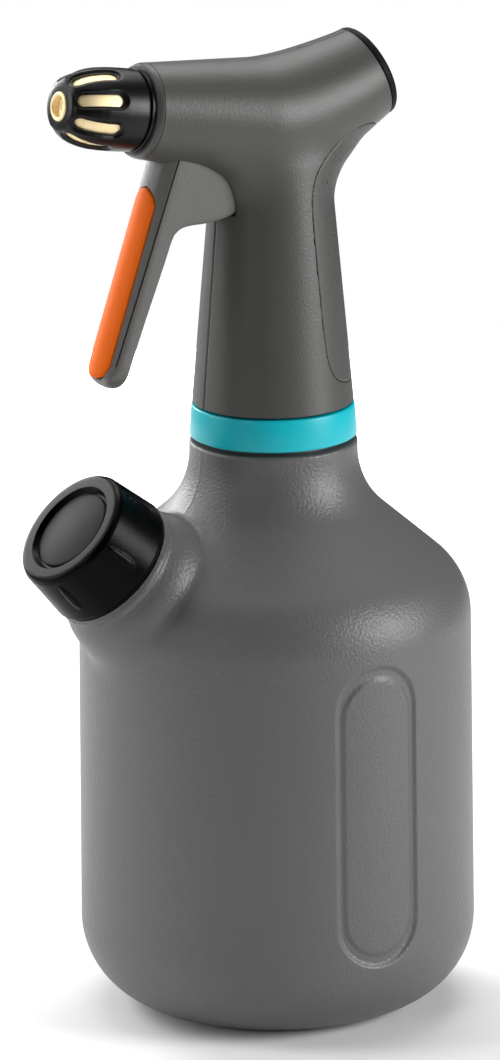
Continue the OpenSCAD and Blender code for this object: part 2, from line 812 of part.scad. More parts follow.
// ---------------------------------------------------------------- nozzle
module nozzle_stem() {
    inner = barrel_r1 - wall;
    lip = 0.3;
    groove_h = 1.8;
    color(black) in_nozzle() difference() {
        union() {
            translate([0, 0, -stem_plug]) cylinder(h = bezel_t + stem_plug, r = inner - run);
            translate([0, 0, bezel_t]) cylinder(h = flange_g, r = nozzle_r + lip);
            cylinder(h = stem_h, r = stem_r);
            translate([0, 0, -spigot_g]) cylinder(h = spigot_g, r = duct_r + 1.6);
            thread_rings(stem_r - lip, 5, 2, 2);
        }
        translate([0, 0, -spigot_g - 1]) cylinder(h = spigot_g + 1 - duct_end, r = duct_r);
        translate([0, 0, -spigot_g - 1]) cylinder(h = far, r = duct_r - tube_wall);
        translate([0, 0, oring_g - groove_h/2]) tube(groove_h, stem_r + 1, stem_r - 1);
    }
}

module nozzle_oring() {
    color(rubber) in_nozzle() translate([0, 0, oring_g]) rotate_extrude()
        translate([stem_r - 1 + oring_r + run, 0]) circle(r = oring_r, $fn = 32);
}

module swirl_plug() {
    channel = 0.8;
    channel_r = 1.2;
    color(clear_white) in_nozzle() translate([0, 0, swirl_g]) difference() {
        union() {
            cylinder(h = swirl_h, r = duct_r - tube_wall - run);
            translate([0, 0, stem_h - swirl_g]) cylinder(h = swirl_h + swirl_g - stem_h, r = swirl_r);
        }
        for (i = [0:2]) rotate([0, 0, 120*i]) translate([channel_r, -channel/2, -1])
            cube([swirl_r, channel, swirl_h + 2]);
    }
}

module nozzle_core() {
    bore = stem_r + thread_h + slide_gap;
    bore_g = 16;
    swirl_top = 20.2;
    edge = 0.3;
    color(brass) in_nozzle() difference() {
        rotate_extrude() polygon([[0, core_g], [core_r, core_g], [core_r, 14.5], [core_r - 0.5, 17],
            [core_r - 1.3, 19.5], [core_r - 2.2, 22], [core_r - 3.1, 23.4], [tip_r, 23.4], [tip_r, nozzle_len - edge], [tip_r - edge, nozzle_len],
            [0, nozzle_len]]);
        translate([0, 0, core_g - 1]) cylinder(h = bore_g - core_g + 1, r = bore);
        translate([0, 0, bore_g - 1]) cylinder(h = swirl_top - bore_g + 1, r = swirl_r + slide_gap);
        translate([0, 0, swirl_top - 1]) cylinder(h = far, r = orifice_r);
        translate([0, 0, nozzle_len - 1.6]) cylinder(h = 3, r1 = 1.8, r2 = 3.4);
    }
}

// The slots around the nozzle cap: each an oval that runs outwards from g1, w wide
module nozzle_slots(w, g1) {
    reach = slot_g2 - g1 + w;
    for (i = [0:slots - 1]) rotate([0, 0, (i + slot_turn)*360/slots]) rotate([0, 90, 0])
        translate([-(g1 + slot_g2)/2, 0, 3]) linear_extrude(20) rotate(90) stadium(w, reach);
}

module nozzle_cap() {
    throat = 1.6;
    color(black) in_nozzle() difference() {
        rotate_extrude() polygon(concat([[0, cap_g]], nozzle_side, [[0, cap_end]]));
        difference() {
            rotate_extrude() polygon(concat(
                [[0, cap_g - 1], [nozzle_r - cap_skin, cap_g - 1], [nozzle_r - cap_skin, 7.5]],
                [for (i = [3:8]) [nozzle_side[i][0] - cap_skin, nozzle_side[i][1] - 0.3]],
                [[0, nozzle_side[8][1] - 0.3]]));
            translate([0, 0, core_g + 0.2]) tube(throat, nozzle_r, core_r + run);
        }
        translate([0, 0, cap_end - 5]) cylinder(h = far, r = tip_r + run);
        nozzle_slots(slot_w, slot_g1);
        intersection() {
            difference() {
                cylinder(h = far, r = far);
                rotate_extrude() polygon(concat([[0, 0]], [for (p = nozzle_side) [p[0] - slot_rim_d, p[1]]],
                    [[0, cap_end]]));
            }
            nozzle_slots(slot_w + 2*slot_rim, slot_g1 - slot_bed);
        }
    }
}

// ---------------------------------------------------------------- trigger
// A round column along the lever, whose front face is the lever's front
module lever_round(r) {
    translate([lever_r, 0, -far/2]) cylinder(h = far, r = r);
}

// All that lies more than x behind the lever's front
module behind(x) {
    translate([x, -far/2, -far/2]) cube(far);
}

// The rounded front of the lever and all that lies behind it
module lever_envelope(d) {
    in_lever() {
        lever_round(lever_r + d);
        behind(lever_r - d - sqrt(pow(lever_r, 2) - pow(trigger_y, 2)));
    }
}

// Where the rod's cross pin sits in the trigger, once the trigger has turned by a
function rod_in_trigger(a) = let (x = rod_x - pivot_x + rod_ratio*a*PI/180, z = cyl_z - pivot_z)
    [pivot_x + x*cos(a) + z*sin(a), pivot_z - x*sin(a) + z*cos(a)];

// A point in side view, given behind the lever's front and up along it
function lever_at(back, up) = [lever_x + back*cos(lever_tilt) + up*sin(lever_tilt),
    lever_z - back*sin(lever_tilt) + up*cos(lever_tilt)];

module trigger() {
    color(grey) difference() {
        intersection() {
            union() {
                across(trigger_side, trigger_y);
                cross_bar(pivot_x, pivot_z, boss_r - slide_gap, trigger_y);
            }
            lever_envelope(0);
        }
        across(trigger_space, trigger_in);
        cross_bar(pivot_x, pivot_z, pivot_r + run, far/2);
        for (q = [0, 0.5, 1]) let (p = rod_in_trigger(q*trigger_travel))
            cross_bar(p[0], p[1], rod_pin_r + slide_gap, trigger_in + rod_depth);
        pad(2);
    }
}

// The finger pad's space in the lever's rounded front, out to a given height above it
module pad(out) {
    intersection() {
        in_lever() difference() {
            lever_round(lever_r + out);
            lever_round(lever_r - pad_t);
            behind(lever_r/2);
        }
        in_lever() translate([-far/2, 0, -pad_mid]) rotate([90, 0, 90]) linear_extrude(far)
            stadium(pad_w, pad_h);
    }
}

module trigger_grip() {
    color(orange) pad(pad_proud);
}

module pivot_pin() {
    color(steel) cross_bar(pivot_x, pivot_z, pivot_r, pin_y);
}

bottle();
filler_cap();
filler_seal();
collar_nut();
neck_seal();
neck_plug();
vent_valve();
shell_left();
shell_right();
rear_grip();
end_cap();
nose_ring();
pump_body();
gland();
piston();
piston_seal();
return_spring();
inlet_seat();
inlet_ball();
outlet_ball();
outlet_spring();
outlet_plug();
dip_tube();
tube_filter();
outlet_tube();
nozzle_stem();
nozzle_oring();
swirl_plug();
nozzle_core();
nozzle_cap();
trigger();
trigger_grip();
pivot_pin();
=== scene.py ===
"""Looks of the hand pump sprayer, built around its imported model.

Sizes are in millimetres in the part's own frame: Z up, nozzle towards -X, Y = 0 the plane of symmetry.
A piece is shaped in millimetres, and add_piece() turns it to metres.
"""

import math

import bmesh
import bpy
import numpy as np
from mathutils import Matrix, Vector


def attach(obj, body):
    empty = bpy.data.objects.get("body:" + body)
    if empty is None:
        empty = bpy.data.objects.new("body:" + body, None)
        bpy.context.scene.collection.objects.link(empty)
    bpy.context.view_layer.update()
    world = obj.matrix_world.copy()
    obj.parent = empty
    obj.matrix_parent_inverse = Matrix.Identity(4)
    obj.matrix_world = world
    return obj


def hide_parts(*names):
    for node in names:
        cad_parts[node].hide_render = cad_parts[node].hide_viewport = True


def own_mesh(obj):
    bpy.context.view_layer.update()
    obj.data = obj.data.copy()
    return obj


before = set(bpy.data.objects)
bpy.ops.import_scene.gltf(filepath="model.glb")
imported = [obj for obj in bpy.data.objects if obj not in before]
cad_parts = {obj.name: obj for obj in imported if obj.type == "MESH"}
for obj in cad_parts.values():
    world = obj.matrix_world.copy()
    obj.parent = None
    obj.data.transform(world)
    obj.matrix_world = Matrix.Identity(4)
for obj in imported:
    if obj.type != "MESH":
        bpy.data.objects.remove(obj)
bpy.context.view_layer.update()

# ---------------------------------------------------------------- sizes, in millimetres
FAR = 99  # farther than any edge that is looked for
BOTTLE_R, FOOT_R, BASE_ROUND = 54.0, 54.6, 24.0
SHOULDER_Z, SHOULDER_ROUND, SLOPE = 109.7, 21.5, math.radians(40.9)
NECK_R, NECK_ROUND, RIM_Z = 23.1, 22.8, 159.5
RIM_EDGE = 0.9
FINISH_R, FINISH_Z, NECK_BORE = 19.4, 164.7, 17.4
OVAL_W, OVAL_H, OVAL_Z, OVAL_Y = 25.7, 85.6, 64.5, 40  # OVAL_Y: where the bottle's flanks begin
OVAL_DEEP, PANEL_RISE, OVAL_GROOVE, OVAL_WIDER = 0.9, 0.5, 2.9, 1.3
FILLER_TILT = math.radians(42.8)
CAP_H, CAP_R1, CAP_R2, CAP_EDGE, CAP_BORE, CAP_DEEP = 17.2, 19.6, 17.5, 1.5, 16.1, 13.3
FACE_RIM, FACE_SINK = 13.3, 1.65
RIBS, RIB_TOP, RIB_LEN, RIB_H = 6, 2.6, 10.0, 0.45
SPOUT_R, SPOUT_BORE, SPOUT_H, SPOUT_Z1 = 15.0, 12.8, 11.7, -0.6
FLARE_R, FLARE_LEN, BEAD_R, BEAD_Z, BEAD_SIZE = 18.7, 34, 18.5, -1.9, 0.95
SWELL_Z, SWELL_H, SWELL_LEN, SWELL_SLOPE, SPOUT_BLEND = -3.6, 2.7, 2.6, 0.13, 1.8
THREAD_H, THREAD_SIDE = 0.8, (-0.2, 0.25, 0.95, 1.4)
PARTING_Z1, PARTING_Z2, PARTING_H, PARTING_W = 112, 125, 0.1, 0.5
COLLAR_Z, COLLAR_H, COLLAR_R1, COLLAR_R2 = 160.8, 8.9, 22.95, 22.35
COLLAR_EDGE, COLLAR_BORE, COLLAR_MOUTH, COLLAR_ROOF = 0.6, 20.5, 16.6, 168.5
HEAD_Z, HANDLE_R1, HANDLE_R2, WAIST_Z = 170.4, 22.1, 17.8, 219.0
FILLET_R, FILLET_Z, COLUMN_Z, COLUMN_TOP = 13.5, 226.3, 239.6, 245.0
BACK_Z, BACK_CURVE, FADE_Z, HEAD_BLEND = 225, 0.045, 237, 3.0
WALL, SEAM_DEEP, SEAM_W, PLUG_HOLE = 2.4, 0.4, 0.22, 16.4
NOSE, NOSE_TILT = (-40.4, 255.6), math.radians(9.5)
TAIL, TAIL_TILT, TAIL_R = (29.2, 257.9), math.radians(22.0), 13.2
BARREL_R1, BARREL_R2, BARREL_X2 = 13.0, 16.3, -6.0
BULGES = (1.25, 2.8, 0.8)  # of the barrel's bend: up, down and sideways
GRIP_T, GRIP_GAP, GRIP_EDGE_DEEP, GRIP_EDGE_W = 1.2, 0.18, 0.25, 0.3
DIMPLES, DIMPLE_Z, DIMPLE_PITCH, DIMPLE_R, DIMPLE_OUT, DIMPLE_TURNS = 8, 208.6, 4.8, 0.68, 0.38, (51, 63)
GRIP_SIDE = [(20, 176.4), (13.5, 176.6), (9.6, 177.8), (7.2, 180), (5.6, 183.6), (4.8, 188.5), (4.2, 196),
             (3.6, 207), (3, 218), (2.7, 226), (3.2, 231), (4.6, 235), (7.4, 238.6), (11.5, 241.8),
             (16.5, 244.6), (22, 246.6), (27, 246.4), (32, 244.4), (50, 232), (50, 176.6)]
LEVER, LEVER_TILT, LEVER_R, LEVER_LEN = (-37.5, 240.2), math.radians(19.2), 9.5, 57.5
TRIGGER_Y, TRIGGER_IN, LEVER_WEB, HOOD_Z = 7.25, 5.65, 2.4, 246.0
TRIGGER_SIDE = [(-54.8, 188.6), (-55.3, 185.4), (-54.9, 182.4), (-53.2, 180.6), (-51.2, 180.5), (-49.9, 182.6),
                (-48.9, 186.6), (-46.8, 191.8), (-43.7, 199.7), (-40.4, 207.6), (-37.2, 215.4), (-35.7, 219.4),
                (-34.6, 221.8), (-32.6, 223.4), (-29.5, 223.9), (-24.9, 223.8), (-20.5, 224.3),
                (-16.7, 225.0), (-14.5, 226.4), (-14.2, 229.8), (-16.4, 234.8), (-29, 251.1), (-34.8, 249.1)]
PIVOT, PIVOT_R = (-31.5, 248.5), 1.55
GROOVE = [(-31.4, 247.0), (-31.0, 247.0), (-52.8, 187.8), (-53.2, 187.8)]
GROOVE_Y1, GROOVE_Y2, GROOVE_STEP = 5.95, 6.35, 205
SLOT_SIDE = [(-38.3, 231.4), (-38.3, 248.6), (-8.4, 248.6), (-8.4, 234.6), (-9.1, 232.3), (-11.2, 229.0),
             (-13.2, 226.6), (-15.2, 225.0), (-17.0, 224.3), (-20.5, 223.7)]
SLOT_GAP, SLOT_BACK, LEVER_END = 0.3, 3.1, 54.1
PAD_W, PAD_H, PAD_MID, PAD_PROUD, PAD_BACK, PAD_BED = 10.4, 53.4, 32.6, 0.3, 1.2, 1.3
SLOTS, SLOT_W, SLOT_G1, SLOT_G2, SLOT_TURN = 8, 3.2, 13.0, 22.6, 0.48
RECESS_G1, RECESS_G2, RECESS_W, RECESS_DEEP = 13.2, 22.5, 5.4, 0.8
RETURN_SPRING = {"fixed_end": (-8.0, 0, 230.0), "length": 16.0, "stroke": 5.7}
OUTLET_SPRING = {"fixed_end": (8.5, 0, 249.4), "length": 7.4, "stroke": 0.95}
NOZZLE_SIDE = [(10.8, 3.4), (11.15, 3.9), (11.25, 7), (11.25, 10), (11.15, 13), (10.95, 16), (10.5, 18.5),
               (9.8, 21), (8.8, 23.2), (7.6, 24.7), (6.6, 25.4), (5.4, 25.7)]
NOZZLE_INSIDE = [(4.05, 25.7), (4.05, 25.1), (5.3, 25.1), (6.6, 24.2), (7.7, 22.9), (8.7, 21), (9.4, 18.5),
                 (9.85, 16), (10.05, 13), (10.1, 10), (10.1, 5), (9.4, 4.2), (9.4, 3.4)]
CORE_SIDE = [(0, 20.2), (2.5, 20.2), (2.5, 16.0), (5.7, 16.0), (5.7, 5.4), (9.5, 5.4), (9.9, 5.8), (9.9, 13.0),
             (9.7, 16.0), (9.25, 18.5), (8.5, 21.0), (7.5, 22.8), (6.4, 24.1), (5.2, 24.9), (4.0, 24.9),
             (4.0, 25.7), (3.85, 25.95), (3.6, 26.1), (3.3, 26.1), (3.05, 25.95), (2.9, 25.6), (2.75, 24.3),
             (1.9, 24.1), (1.6, 23.8), (0.5, 23.7), (0.45, 22.0), (0, 22.0)]
STEM_SIDE = [(2, -6.8), (4.6, -6.8), (4.6, -3), (10.5, -3), (10.5, 1.9), (11.1, 1.9), (11.3, 2.1), (11.3, 2.9),
             (11.1, 3.1), (4.6, 3.1), (4.6, 13.4), (4.4, 13.6), (2.0, 13.6)]


def framed(x, z, turn):
    """The frame that starts at (x, 0, z) with its Z turned about Y."""
    return Matrix.Translation((x, 0, z)) @ Matrix.Rotation(turn, 4, "Y")


FACE = (-64.6, 143.4)  # the middle of the filler cap's top, at Y = 0
SPOUT_AT = (FACE[0] + CAP_H * math.cos(FILLER_TILT), FACE[1] - CAP_H * math.sin(FILLER_TILT))
IN_SPOUT = framed(*SPOUT_AT, FILLER_TILT - math.pi / 2)
IN_NOZZLE = framed(*NOSE, NOSE_TILT - math.pi / 2)
IN_TAIL = framed(*TAIL, math.pi / 2 - TAIL_TILT)
IN_LEVER = framed(*LEVER, LEVER_TILT)


# ---------------------------------------------------------------- surfaces as distances
def soft_min(a, b, k):
    """The smaller of two distances, with the corner between them filled to a radius of about k."""
    h = np.clip(0.5 + 0.5 * (b - a) / k, 0, 1)
    return b + (a - b) * h - k * h * (1 - h)


def soft_max(a, b, k):
    return -soft_min(-a, -b, k)


def local(points, matrix):
    """Points in the coordinates of a frame."""
    m = np.array(matrix.inverted())
    return points @ m[:3, :3].T + m[:3, 3]


def rounded(points, cuts=3):
    """A closed outline with its corners cut again and again, so that it runs smoothly."""
    p = np.array(points, float)
    for _ in range(cuts):
        after = np.roll(p, -1, axis=0)
        p = np.stack([0.75 * p + 0.25 * after, 0.25 * p + 0.75 * after], axis=1).reshape(-1, 2)
    return p


def outline_distance(u, v, outline):
    """Signed distance from (u, v) to a closed outline: negative inside."""
    best = np.full(len(u), 1e9)
    inside = np.zeros(len(u), bool)
    for (ax, ay), (bx, by) in zip(outline, np.roll(outline, -1, axis=0)):
        ex, ey = bx - ax, by - ay
        t = np.clip(((u - ax) * ex + (v - ay) * ey) / max(ex * ex + ey * ey, 1e-12), 0, 1)
        best = np.minimum(best, (u - ax - t * ex) ** 2 + (v - ay - t * ey) ** 2)
        if ay != by:
            inside ^= ((ay > v) != (by > v)) & (u < ex * (v - ay) / ey + ax)
    return np.where(inside, -1, 1) * np.sqrt(best)


def stadium_distance(u, v, width, height):
    """Signed distance to an upright oval with round ends."""
    up = np.maximum(np.abs(v) - (height - width) / 2, 0)
    return np.hypot(u, up) - width / 2


def step(x, low, high):
    """0 below low, 1 above high, smooth between."""
    t = np.clip((x - low) / (high - low), 0, 1)
    return t * t * (3 - 2 * t)


# ---------------------------------------------------------------- bottle surface
def turned_body(p):
    """Distance to the bottle's turned body: base, side, shoulder arc, slope, neck arc and neck."""
    r, z = np.hypot(p[:, 0], p[:, 1]), p[:, 2]
    sin, cos = math.sin(SLOPE), math.cos(SLOPE)
    shoulder_c = BOTTLE_R - SHOULDER_ROUND
    r1, z1 = shoulder_c + SHOULDER_ROUND * sin, SHOULDER_Z + SHOULDER_ROUND * cos
    neck_c = NECK_R + NECK_ROUND
    length = (r1 - neck_c + NECK_ROUND * sin) / cos
    neck_z = z1 + length * sin + NECK_ROUND * cos
    up = (z - z1) * sin - (r - r1) * cos
    draft = (FOOT_R - BOTTLE_R) * np.clip((z - BASE_ROUND) / (SHOULDER_Z - BASE_ROUND), 0, 1)
    foot_c = FOOT_R - BASE_ROUND
    return np.select(
        [(z < BASE_ROUND) & (r < foot_c), z < BASE_ROUND, z < SHOULDER_Z, up < 0, up < length, z < neck_z],
        [-z, np.hypot(r - foot_c, z - BASE_ROUND) - BASE_ROUND, r - FOOT_R + draft,
         np.hypot(r - shoulder_c, z - SHOULDER_Z) - SHOULDER_ROUND, (r - r1) * sin + (z - z1) * cos,
         NECK_ROUND - np.hypot(r - neck_c, z - neck_z)],
        r - NECK_R)


def spout_side(p):
    """Distance to the spout's root, which swells towards the bottle, and to the bead around its mouth."""
    q = local(p, IN_SPOUT)
    r, t = np.hypot(q[:, 0], q[:, 1]), q[:, 2]
    back = np.logaddexp(0, (-t + SWELL_Z) * 1.4) / 1.4
    swell = SWELL_H * (1 - np.exp(-back / SWELL_LEN)) + SWELL_SLOPE * back
    flare = soft_max((r - FLARE_R - swell) * 0.9, -t - FLARE_LEN, 2)
    bead = np.hypot(r - BEAD_R, t - BEAD_Z) - BEAD_SIZE
    return soft_min(flare, bead, 0.5)


def oval_dip(p):
    """Depth of the oval groove, wider at its ends, and of the panel that comes back up inside it."""
    x, z, y = p[:, 0], p[:, 2] - OVAL_Z, np.abs(p[:, 1])
    inside = -stadium_distance(x, z, OVAL_W, OVAL_H)
    wide = OVAL_GROOVE + OVAL_WIDER * step(np.abs(z), 26, 40)
    dip = OVAL_DEEP * step(inside, -0.2, 1.5) - PANEL_RISE * step(inside, wide - 1.3, wide + 0.3)
    return np.where(y > OVAL_Y, dip, 0)


def parting_rib(p):
    """The fine rib that the two halves of the blow mould leave."""
    return -PARTING_H * np.exp(-(p[:, 1] / PARTING_W) ** 2) * step(p[:, 2], PARTING_Z1, PARTING_Z2)


def bottle_surface(p):
    return soft_min(turned_body(p), spout_side(p), SPOUT_BLEND) + oval_dip(p) + parting_rib(p)


# ---------------------------------------------------------------- head surface
def cone_r(z):
    return HANDLE_R1 + (HANDLE_R2 - HANDLE_R1) * (z - HEAD_Z) / (WAIST_Z - HEAD_Z)


def front_reach(z):
    """How far the handle reaches forward: along its cone, then out along the fillet under the barrel."""
    rise = np.clip(z - FILLET_Z, 0, FILLET_R)
    return cone_r(np.minimum(z, FILLET_Z)) + FILLET_R - np.sqrt(FILLET_R ** 2 - rise ** 2)


def back_reach(z, curve_z):
    """How far it reaches back: along its cone, and out towards the tail from BACK_Z up."""
    return cone_r(z) + BACK_CURVE * np.maximum(curve_z - BACK_Z, 0) ** 2


def column(p, d=0.0):
    """Distance to the handle, drawn in by d. It fades out inside the barrel, above FADE_Z."""
    x, y, z = p.T
    curve_z = soft_min(z, COLUMN_Z, 3)
    reach = np.where(x < 0, front_reach(curve_z), back_reach(z, curve_z)) - d
    side = cone_r(z) - d
    fade = 0.02 * np.maximum(z - FADE_Z, 0) ** 2
    return (np.hypot(x / reach, y / side) - 1) * side + fade


def barrel_line():
    """Stations along the barrel: centre, tilt and radii, from before the nose to behind the tail. They are
    taken on the straight front, on the bend and behind the tail, then spaced evenly and smoothed."""
    tan = math.tan(NOSE_TILT)
    z2 = NOSE[1] - (BARREL_X2 - NOSE[0]) * tan
    rise = z2 - TAIL[1] + BARREL_X2 * tan + TAIL[0] * math.tan(TAIL_TILT)
    bend_x = rise / (tan + math.tan(TAIL_TILT))
    bend_z = TAIL[1] + (bend_x - TAIL[0]) * math.tan(TAIL_TILT)
    x = np.linspace(NOSE[0] - 6, BARREL_X2, 60, endpoint=False)
    share = (x - NOSE[0]) / (BARREL_X2 - NOSE[0])
    radius = BARREL_R1 + (BARREL_R2 - BARREL_R1) * share
    front = np.stack([x, NOSE[1] - (x - NOSE[0]) * tan, 0 * x - NOSE_TILT, radius, radius, radius])
    u = np.linspace(0, 1, 60)
    cx = (1 - u) ** 2 * BARREL_X2 + 2 * u * (1 - u) * bend_x + u * u * TAIL[0]
    cz = (1 - u) ** 2 * z2 + 2 * u * (1 - u) * bend_z + u * u * TAIL[1]
    tilt = np.arctan2((1 - u) * (bend_z - z2) + u * (TAIL[1] - bend_z),
                      (1 - u) * (bend_x - BARREL_X2) + u * (TAIL[0] - bend_x))
    taper = [BARREL_R2 + (TAIL_R - BARREL_R2) * u + 4 * bulge * u * (1 - u) for bulge in BULGES]
    bend = np.stack([cx, cz, tilt, *taper])
    out = np.linspace(0.5, 7, 14)
    back = np.stack([TAIL[0] + out * math.cos(TAIL_TILT), TAIL[1] + out * math.sin(TAIL_TILT),
                     0 * out + TAIL_TILT, *[0 * out + TAIL_R] * 3])
    line = np.concatenate([front, bend, back], axis=1)
    even = np.linspace(line[0, 0], line[0, -1], 160)
    line = np.array([np.interp(even, line[0], row) for row in line])
    padded = np.pad(line, ((0, 0), (6, 6)), mode="reflect", reflect_type="odd")
    kernel = np.hanning(15)[1:-1] / np.hanning(15)[1:-1].sum()
    return np.array([np.convolve(row, kernel, mode="valid") for row in padded])


BARREL = barrel_line()


def barrel(p, d=0.0):
    """Distance to the barrel, drawn in by d."""
    x, y, z = p.T
    at = x
    for _ in range(3):
        centre, tilt = np.interp(at, BARREL[0], BARREL[1]), np.interp(at, BARREL[0], BARREL[2])
        height = (z - centre) * np.cos(tilt) - (x - at) * np.sin(tilt)
        at = x + height * np.sin(tilt)
    up, down, side = (np.interp(at, BARREL[0], BARREL[i]) - d for i in (3, 4, 5))
    vertical = np.where(height > 0, up, down)
    return (np.hypot(height / vertical, y / side) - 1) * side


GRIP_LINE = rounded(GRIP_SIDE)


def grip_edge(p):
    return outline_distance(p[:, 0], p[:, 2], GRIP_LINE)


def head_form(p, d=0.0):
    return soft_min(column(p, d), barrel(p, d), HEAD_BLEND)


def seam_dip(p):
    """The fine line where the two halves of the housing meet."""
    return SEAM_DEEP * np.exp(-(p[:, 1] / SEAM_W) ** 2)


def housing_surface(p):
    """The housing, with the bed that the rear grip lies in."""
    return head_form(p) + seam_dip(p) + (GRIP_T + 0.1) * step(-grip_edge(p), -0.1, 0.1)


def grip_surface(p):
    """The grip lies flush with the housing, and its edge is rounded off into a fine line."""
    return head_form(p) + GRIP_EDGE_DEEP * np.exp(-(grip_edge(p) / GRIP_EDGE_W) ** 2)


# ---------------------------------------------------------------- trigger surface
TRIGGER_LINE = rounded(TRIGGER_SIDE, 2)


def lever_round(p, r):
    """Distance to a bar with a round front of radius r, along the lever."""
    q = local(p, IN_LEVER)
    return np.where(q[:, 0] < LEVER_R, np.hypot(q[:, 0] - LEVER_R, q[:, 1]), np.abs(q[:, 1])) - r


def trigger_surface(p):
    q = local(p, IN_LEVER)
    side = outline_distance(p[:, 0], p[:, 2], TRIGGER_LINE)
    past = np.minimum(q[:, 2] + LEVER_END, 0)
    flat = soft_max(np.hypot(q[:, 1], past) - TRIGGER_Y, lever_round(p, LEVER_R), 0.8)
    return soft_max(side, flat, 0.9)


def pad_oval(p, grow=0.0):
    """Distance to the finger pad's outline, seen along the lever's thickness."""
    q = local(p, IN_LEVER)
    return stadium_distance(q[:, 1], q[:, 2] + PAD_MID, PAD_W + grow, PAD_H + grow)


def pad_surface(p):
    outer = lever_round(p, LEVER_R + PAD_PROUD)
    inner = -lever_round(p, LEVER_R - PAD_BACK)
    return soft_max(soft_max(outer, pad_oval(p, -0.3), 0.9), inner, 0.2)


def trigger_with_bed(p):
    """The trigger with the bed that its finger pad lies in."""
    q = local(p, IN_LEVER)
    bed = PAD_BED * step(-pad_oval(p), -0.1, 0.15) * (q[:, 0] < 3.4)
    return trigger_surface(p) + bed


# ---------------------------------------------------------------- shaping tools
def to_object(bm, name="work"):
    me = bpy.data.meshes.new(name)
    bm.to_mesh(me)
    bm.free()
    obj = bpy.data.objects.new(name, me)
    bpy.context.scene.collection.objects.link(obj)
    return obj


def applied(obj):
    """A bmesh of the object with its modifiers, and the object is gone."""
    bpy.context.view_layer.update()
    shown = obj.evaluated_get(bpy.context.evaluated_depsgraph_get())
    bm = bmesh.new()
    bm.from_mesh(shown.to_mesh())
    shown.to_mesh_clear()
    bpy.data.objects.remove(obj)
    return bm


def even_skin(bm, size):
    """One closed skin of even faces around all that is in bm."""
    obj = to_object(bm)
    skin = obj.modifiers.new("skin", "REMESH")
    skin.mode = "VOXEL"
    skin.voxel_size = size
    return applied(obj)


def combine(bm, other, how):
    """bm DIFFERENCE, INTERSECT or UNION other."""
    obj, tool = to_object(bm), to_object(other)
    cut = obj.modifiers.new("cut", "BOOLEAN")
    cut.solver = "MANIFOLD"
    cut.operation = how
    cut.object = tool
    out = applied(obj)
    bpy.data.objects.remove(tool)
    return out


def without_flaps(bm):
    """Deletes the triangles that cuts leave back to back, with nothing between them."""
    bmesh.ops.remove_doubles(bm, verts=bm.verts, dist=2e-4)
    bmesh.ops.triangulate(bm, faces=bm.faces)
    bm.verts.index_update()
    alike = {}
    for f in bm.faces:
        alike.setdefault(frozenset(v.index for v in f.verts), []).append(f)
    flaps = [f for faces in alike.values() if len(faces) > 1 for f in faces]
    bmesh.ops.delete(bm, geom=flaps, context="FACES")
    return bm


def join(*parts):
    """Several bmeshes as one."""
    whole = parts[0]
    for part in parts[1:]:
        me = bpy.data.meshes.new("part")
        part.to_mesh(me)
        part.free()
        whole.from_mesh(me)
        bpy.data.meshes.remove(me)
    return whole


def settle(bm, surface, rounds=4):
    """Moves every vertex onto the surface, where surface(points) is 0."""
    near, longest = 0.05, 1.2
    points = np.array([v.co for v in bm.verts])
    for _ in range(rounds):
        slope = np.stack([(surface(points + d) - surface(points - d)) / (2 * near)
                          for d in near * np.eye(3)], axis=1)
        move = surface(points) / np.maximum((slope ** 2).sum(axis=1), 0.1)
        points -= slope * np.clip(move, -longest, longest)[:, None]
    for v, co in zip(bm.verts, points):
        v.co = co


def refine(bm, distance, reach):
    """Splits the edges that lie nearer than reach to a line, given by its distance."""
    ends = np.array([[v.co for v in e.verts] for e in bm.edges]).reshape(-1, 2, 3)
    near = np.abs(distance(ends.mean(axis=1))) < reach
    edges = [e for e, n in zip(list(bm.edges), near) if n]
    bmesh.ops.subdivide_edges(bm, edges=edges, cuts=1, use_grid_fill=True)


def arc(x, z, r, a1, a2, n=8):
    """Points of an arc around (x, z), in degrees."""
    return [(x + r * math.cos(math.radians(a)), z + r * math.sin(math.radians(a)))
            for a in np.linspace(a1, a2, n + 1)]


def spun(outline, steps=96, place=None, closed=False):
    """A body turned about Z from an outline of (radius, height)."""
    bm = bmesh.new()
    verts = [bm.verts.new((r, 0, z)) for r, z in outline]
    edges = [bm.edges.new(pair) for pair in zip(verts, verts[1:] + (verts[:1] if closed else []))]
    bmesh.ops.spin(bm, geom=verts + edges, cent=(0, 0, 0), axis=(0, 0, 1), angle=2 * math.pi,
                   steps=steps, use_merge=True)
    bmesh.ops.remove_doubles(bm, verts=bm.verts, dist=1e-4)
    bmesh.ops.recalc_face_normals(bm, faces=bm.faces)
    if place:
        bmesh.ops.transform(bm, matrix=place, verts=bm.verts)
    return bm


def prism(outline, half):
    """A side view drawn out to both sides of Y = 0."""
    bm = bmesh.new()
    face = bm.faces.new([bm.verts.new((x, -half, z)) for x, z in outline])
    out = bmesh.ops.extrude_face_region(bm, geom=[face])["geom"]
    moved = [g for g in out if isinstance(g, bmesh.types.BMVert)]
    bmesh.ops.translate(bm, verts=moved, vec=(0, 2 * half, 0))
    bmesh.ops.recalc_face_normals(bm, faces=bm.faces)
    return bm


def box(low, high, place=None):
    bm = bmesh.new()
    bmesh.ops.create_cube(bm, size=1)
    low, high = Vector(low), Vector(high)
    bmesh.ops.scale(bm, vec=high - low, verts=bm.verts)
    bmesh.ops.translate(bm, vec=(low + high) / 2, verts=bm.verts)
    if place:
        bmesh.ops.transform(bm, matrix=place, verts=bm.verts)
    return bm


def rod(r, x, z, half):
    """A round bar across the part."""
    bm = bmesh.new()
    bmesh.ops.create_cone(bm, cap_ends=True, segments=48, radius1=r, radius2=r, depth=2 * half,
                          matrix=Matrix.Translation((x, 0, z)) @ Matrix.Rotation(math.pi / 2, 4, "X"))
    return bm


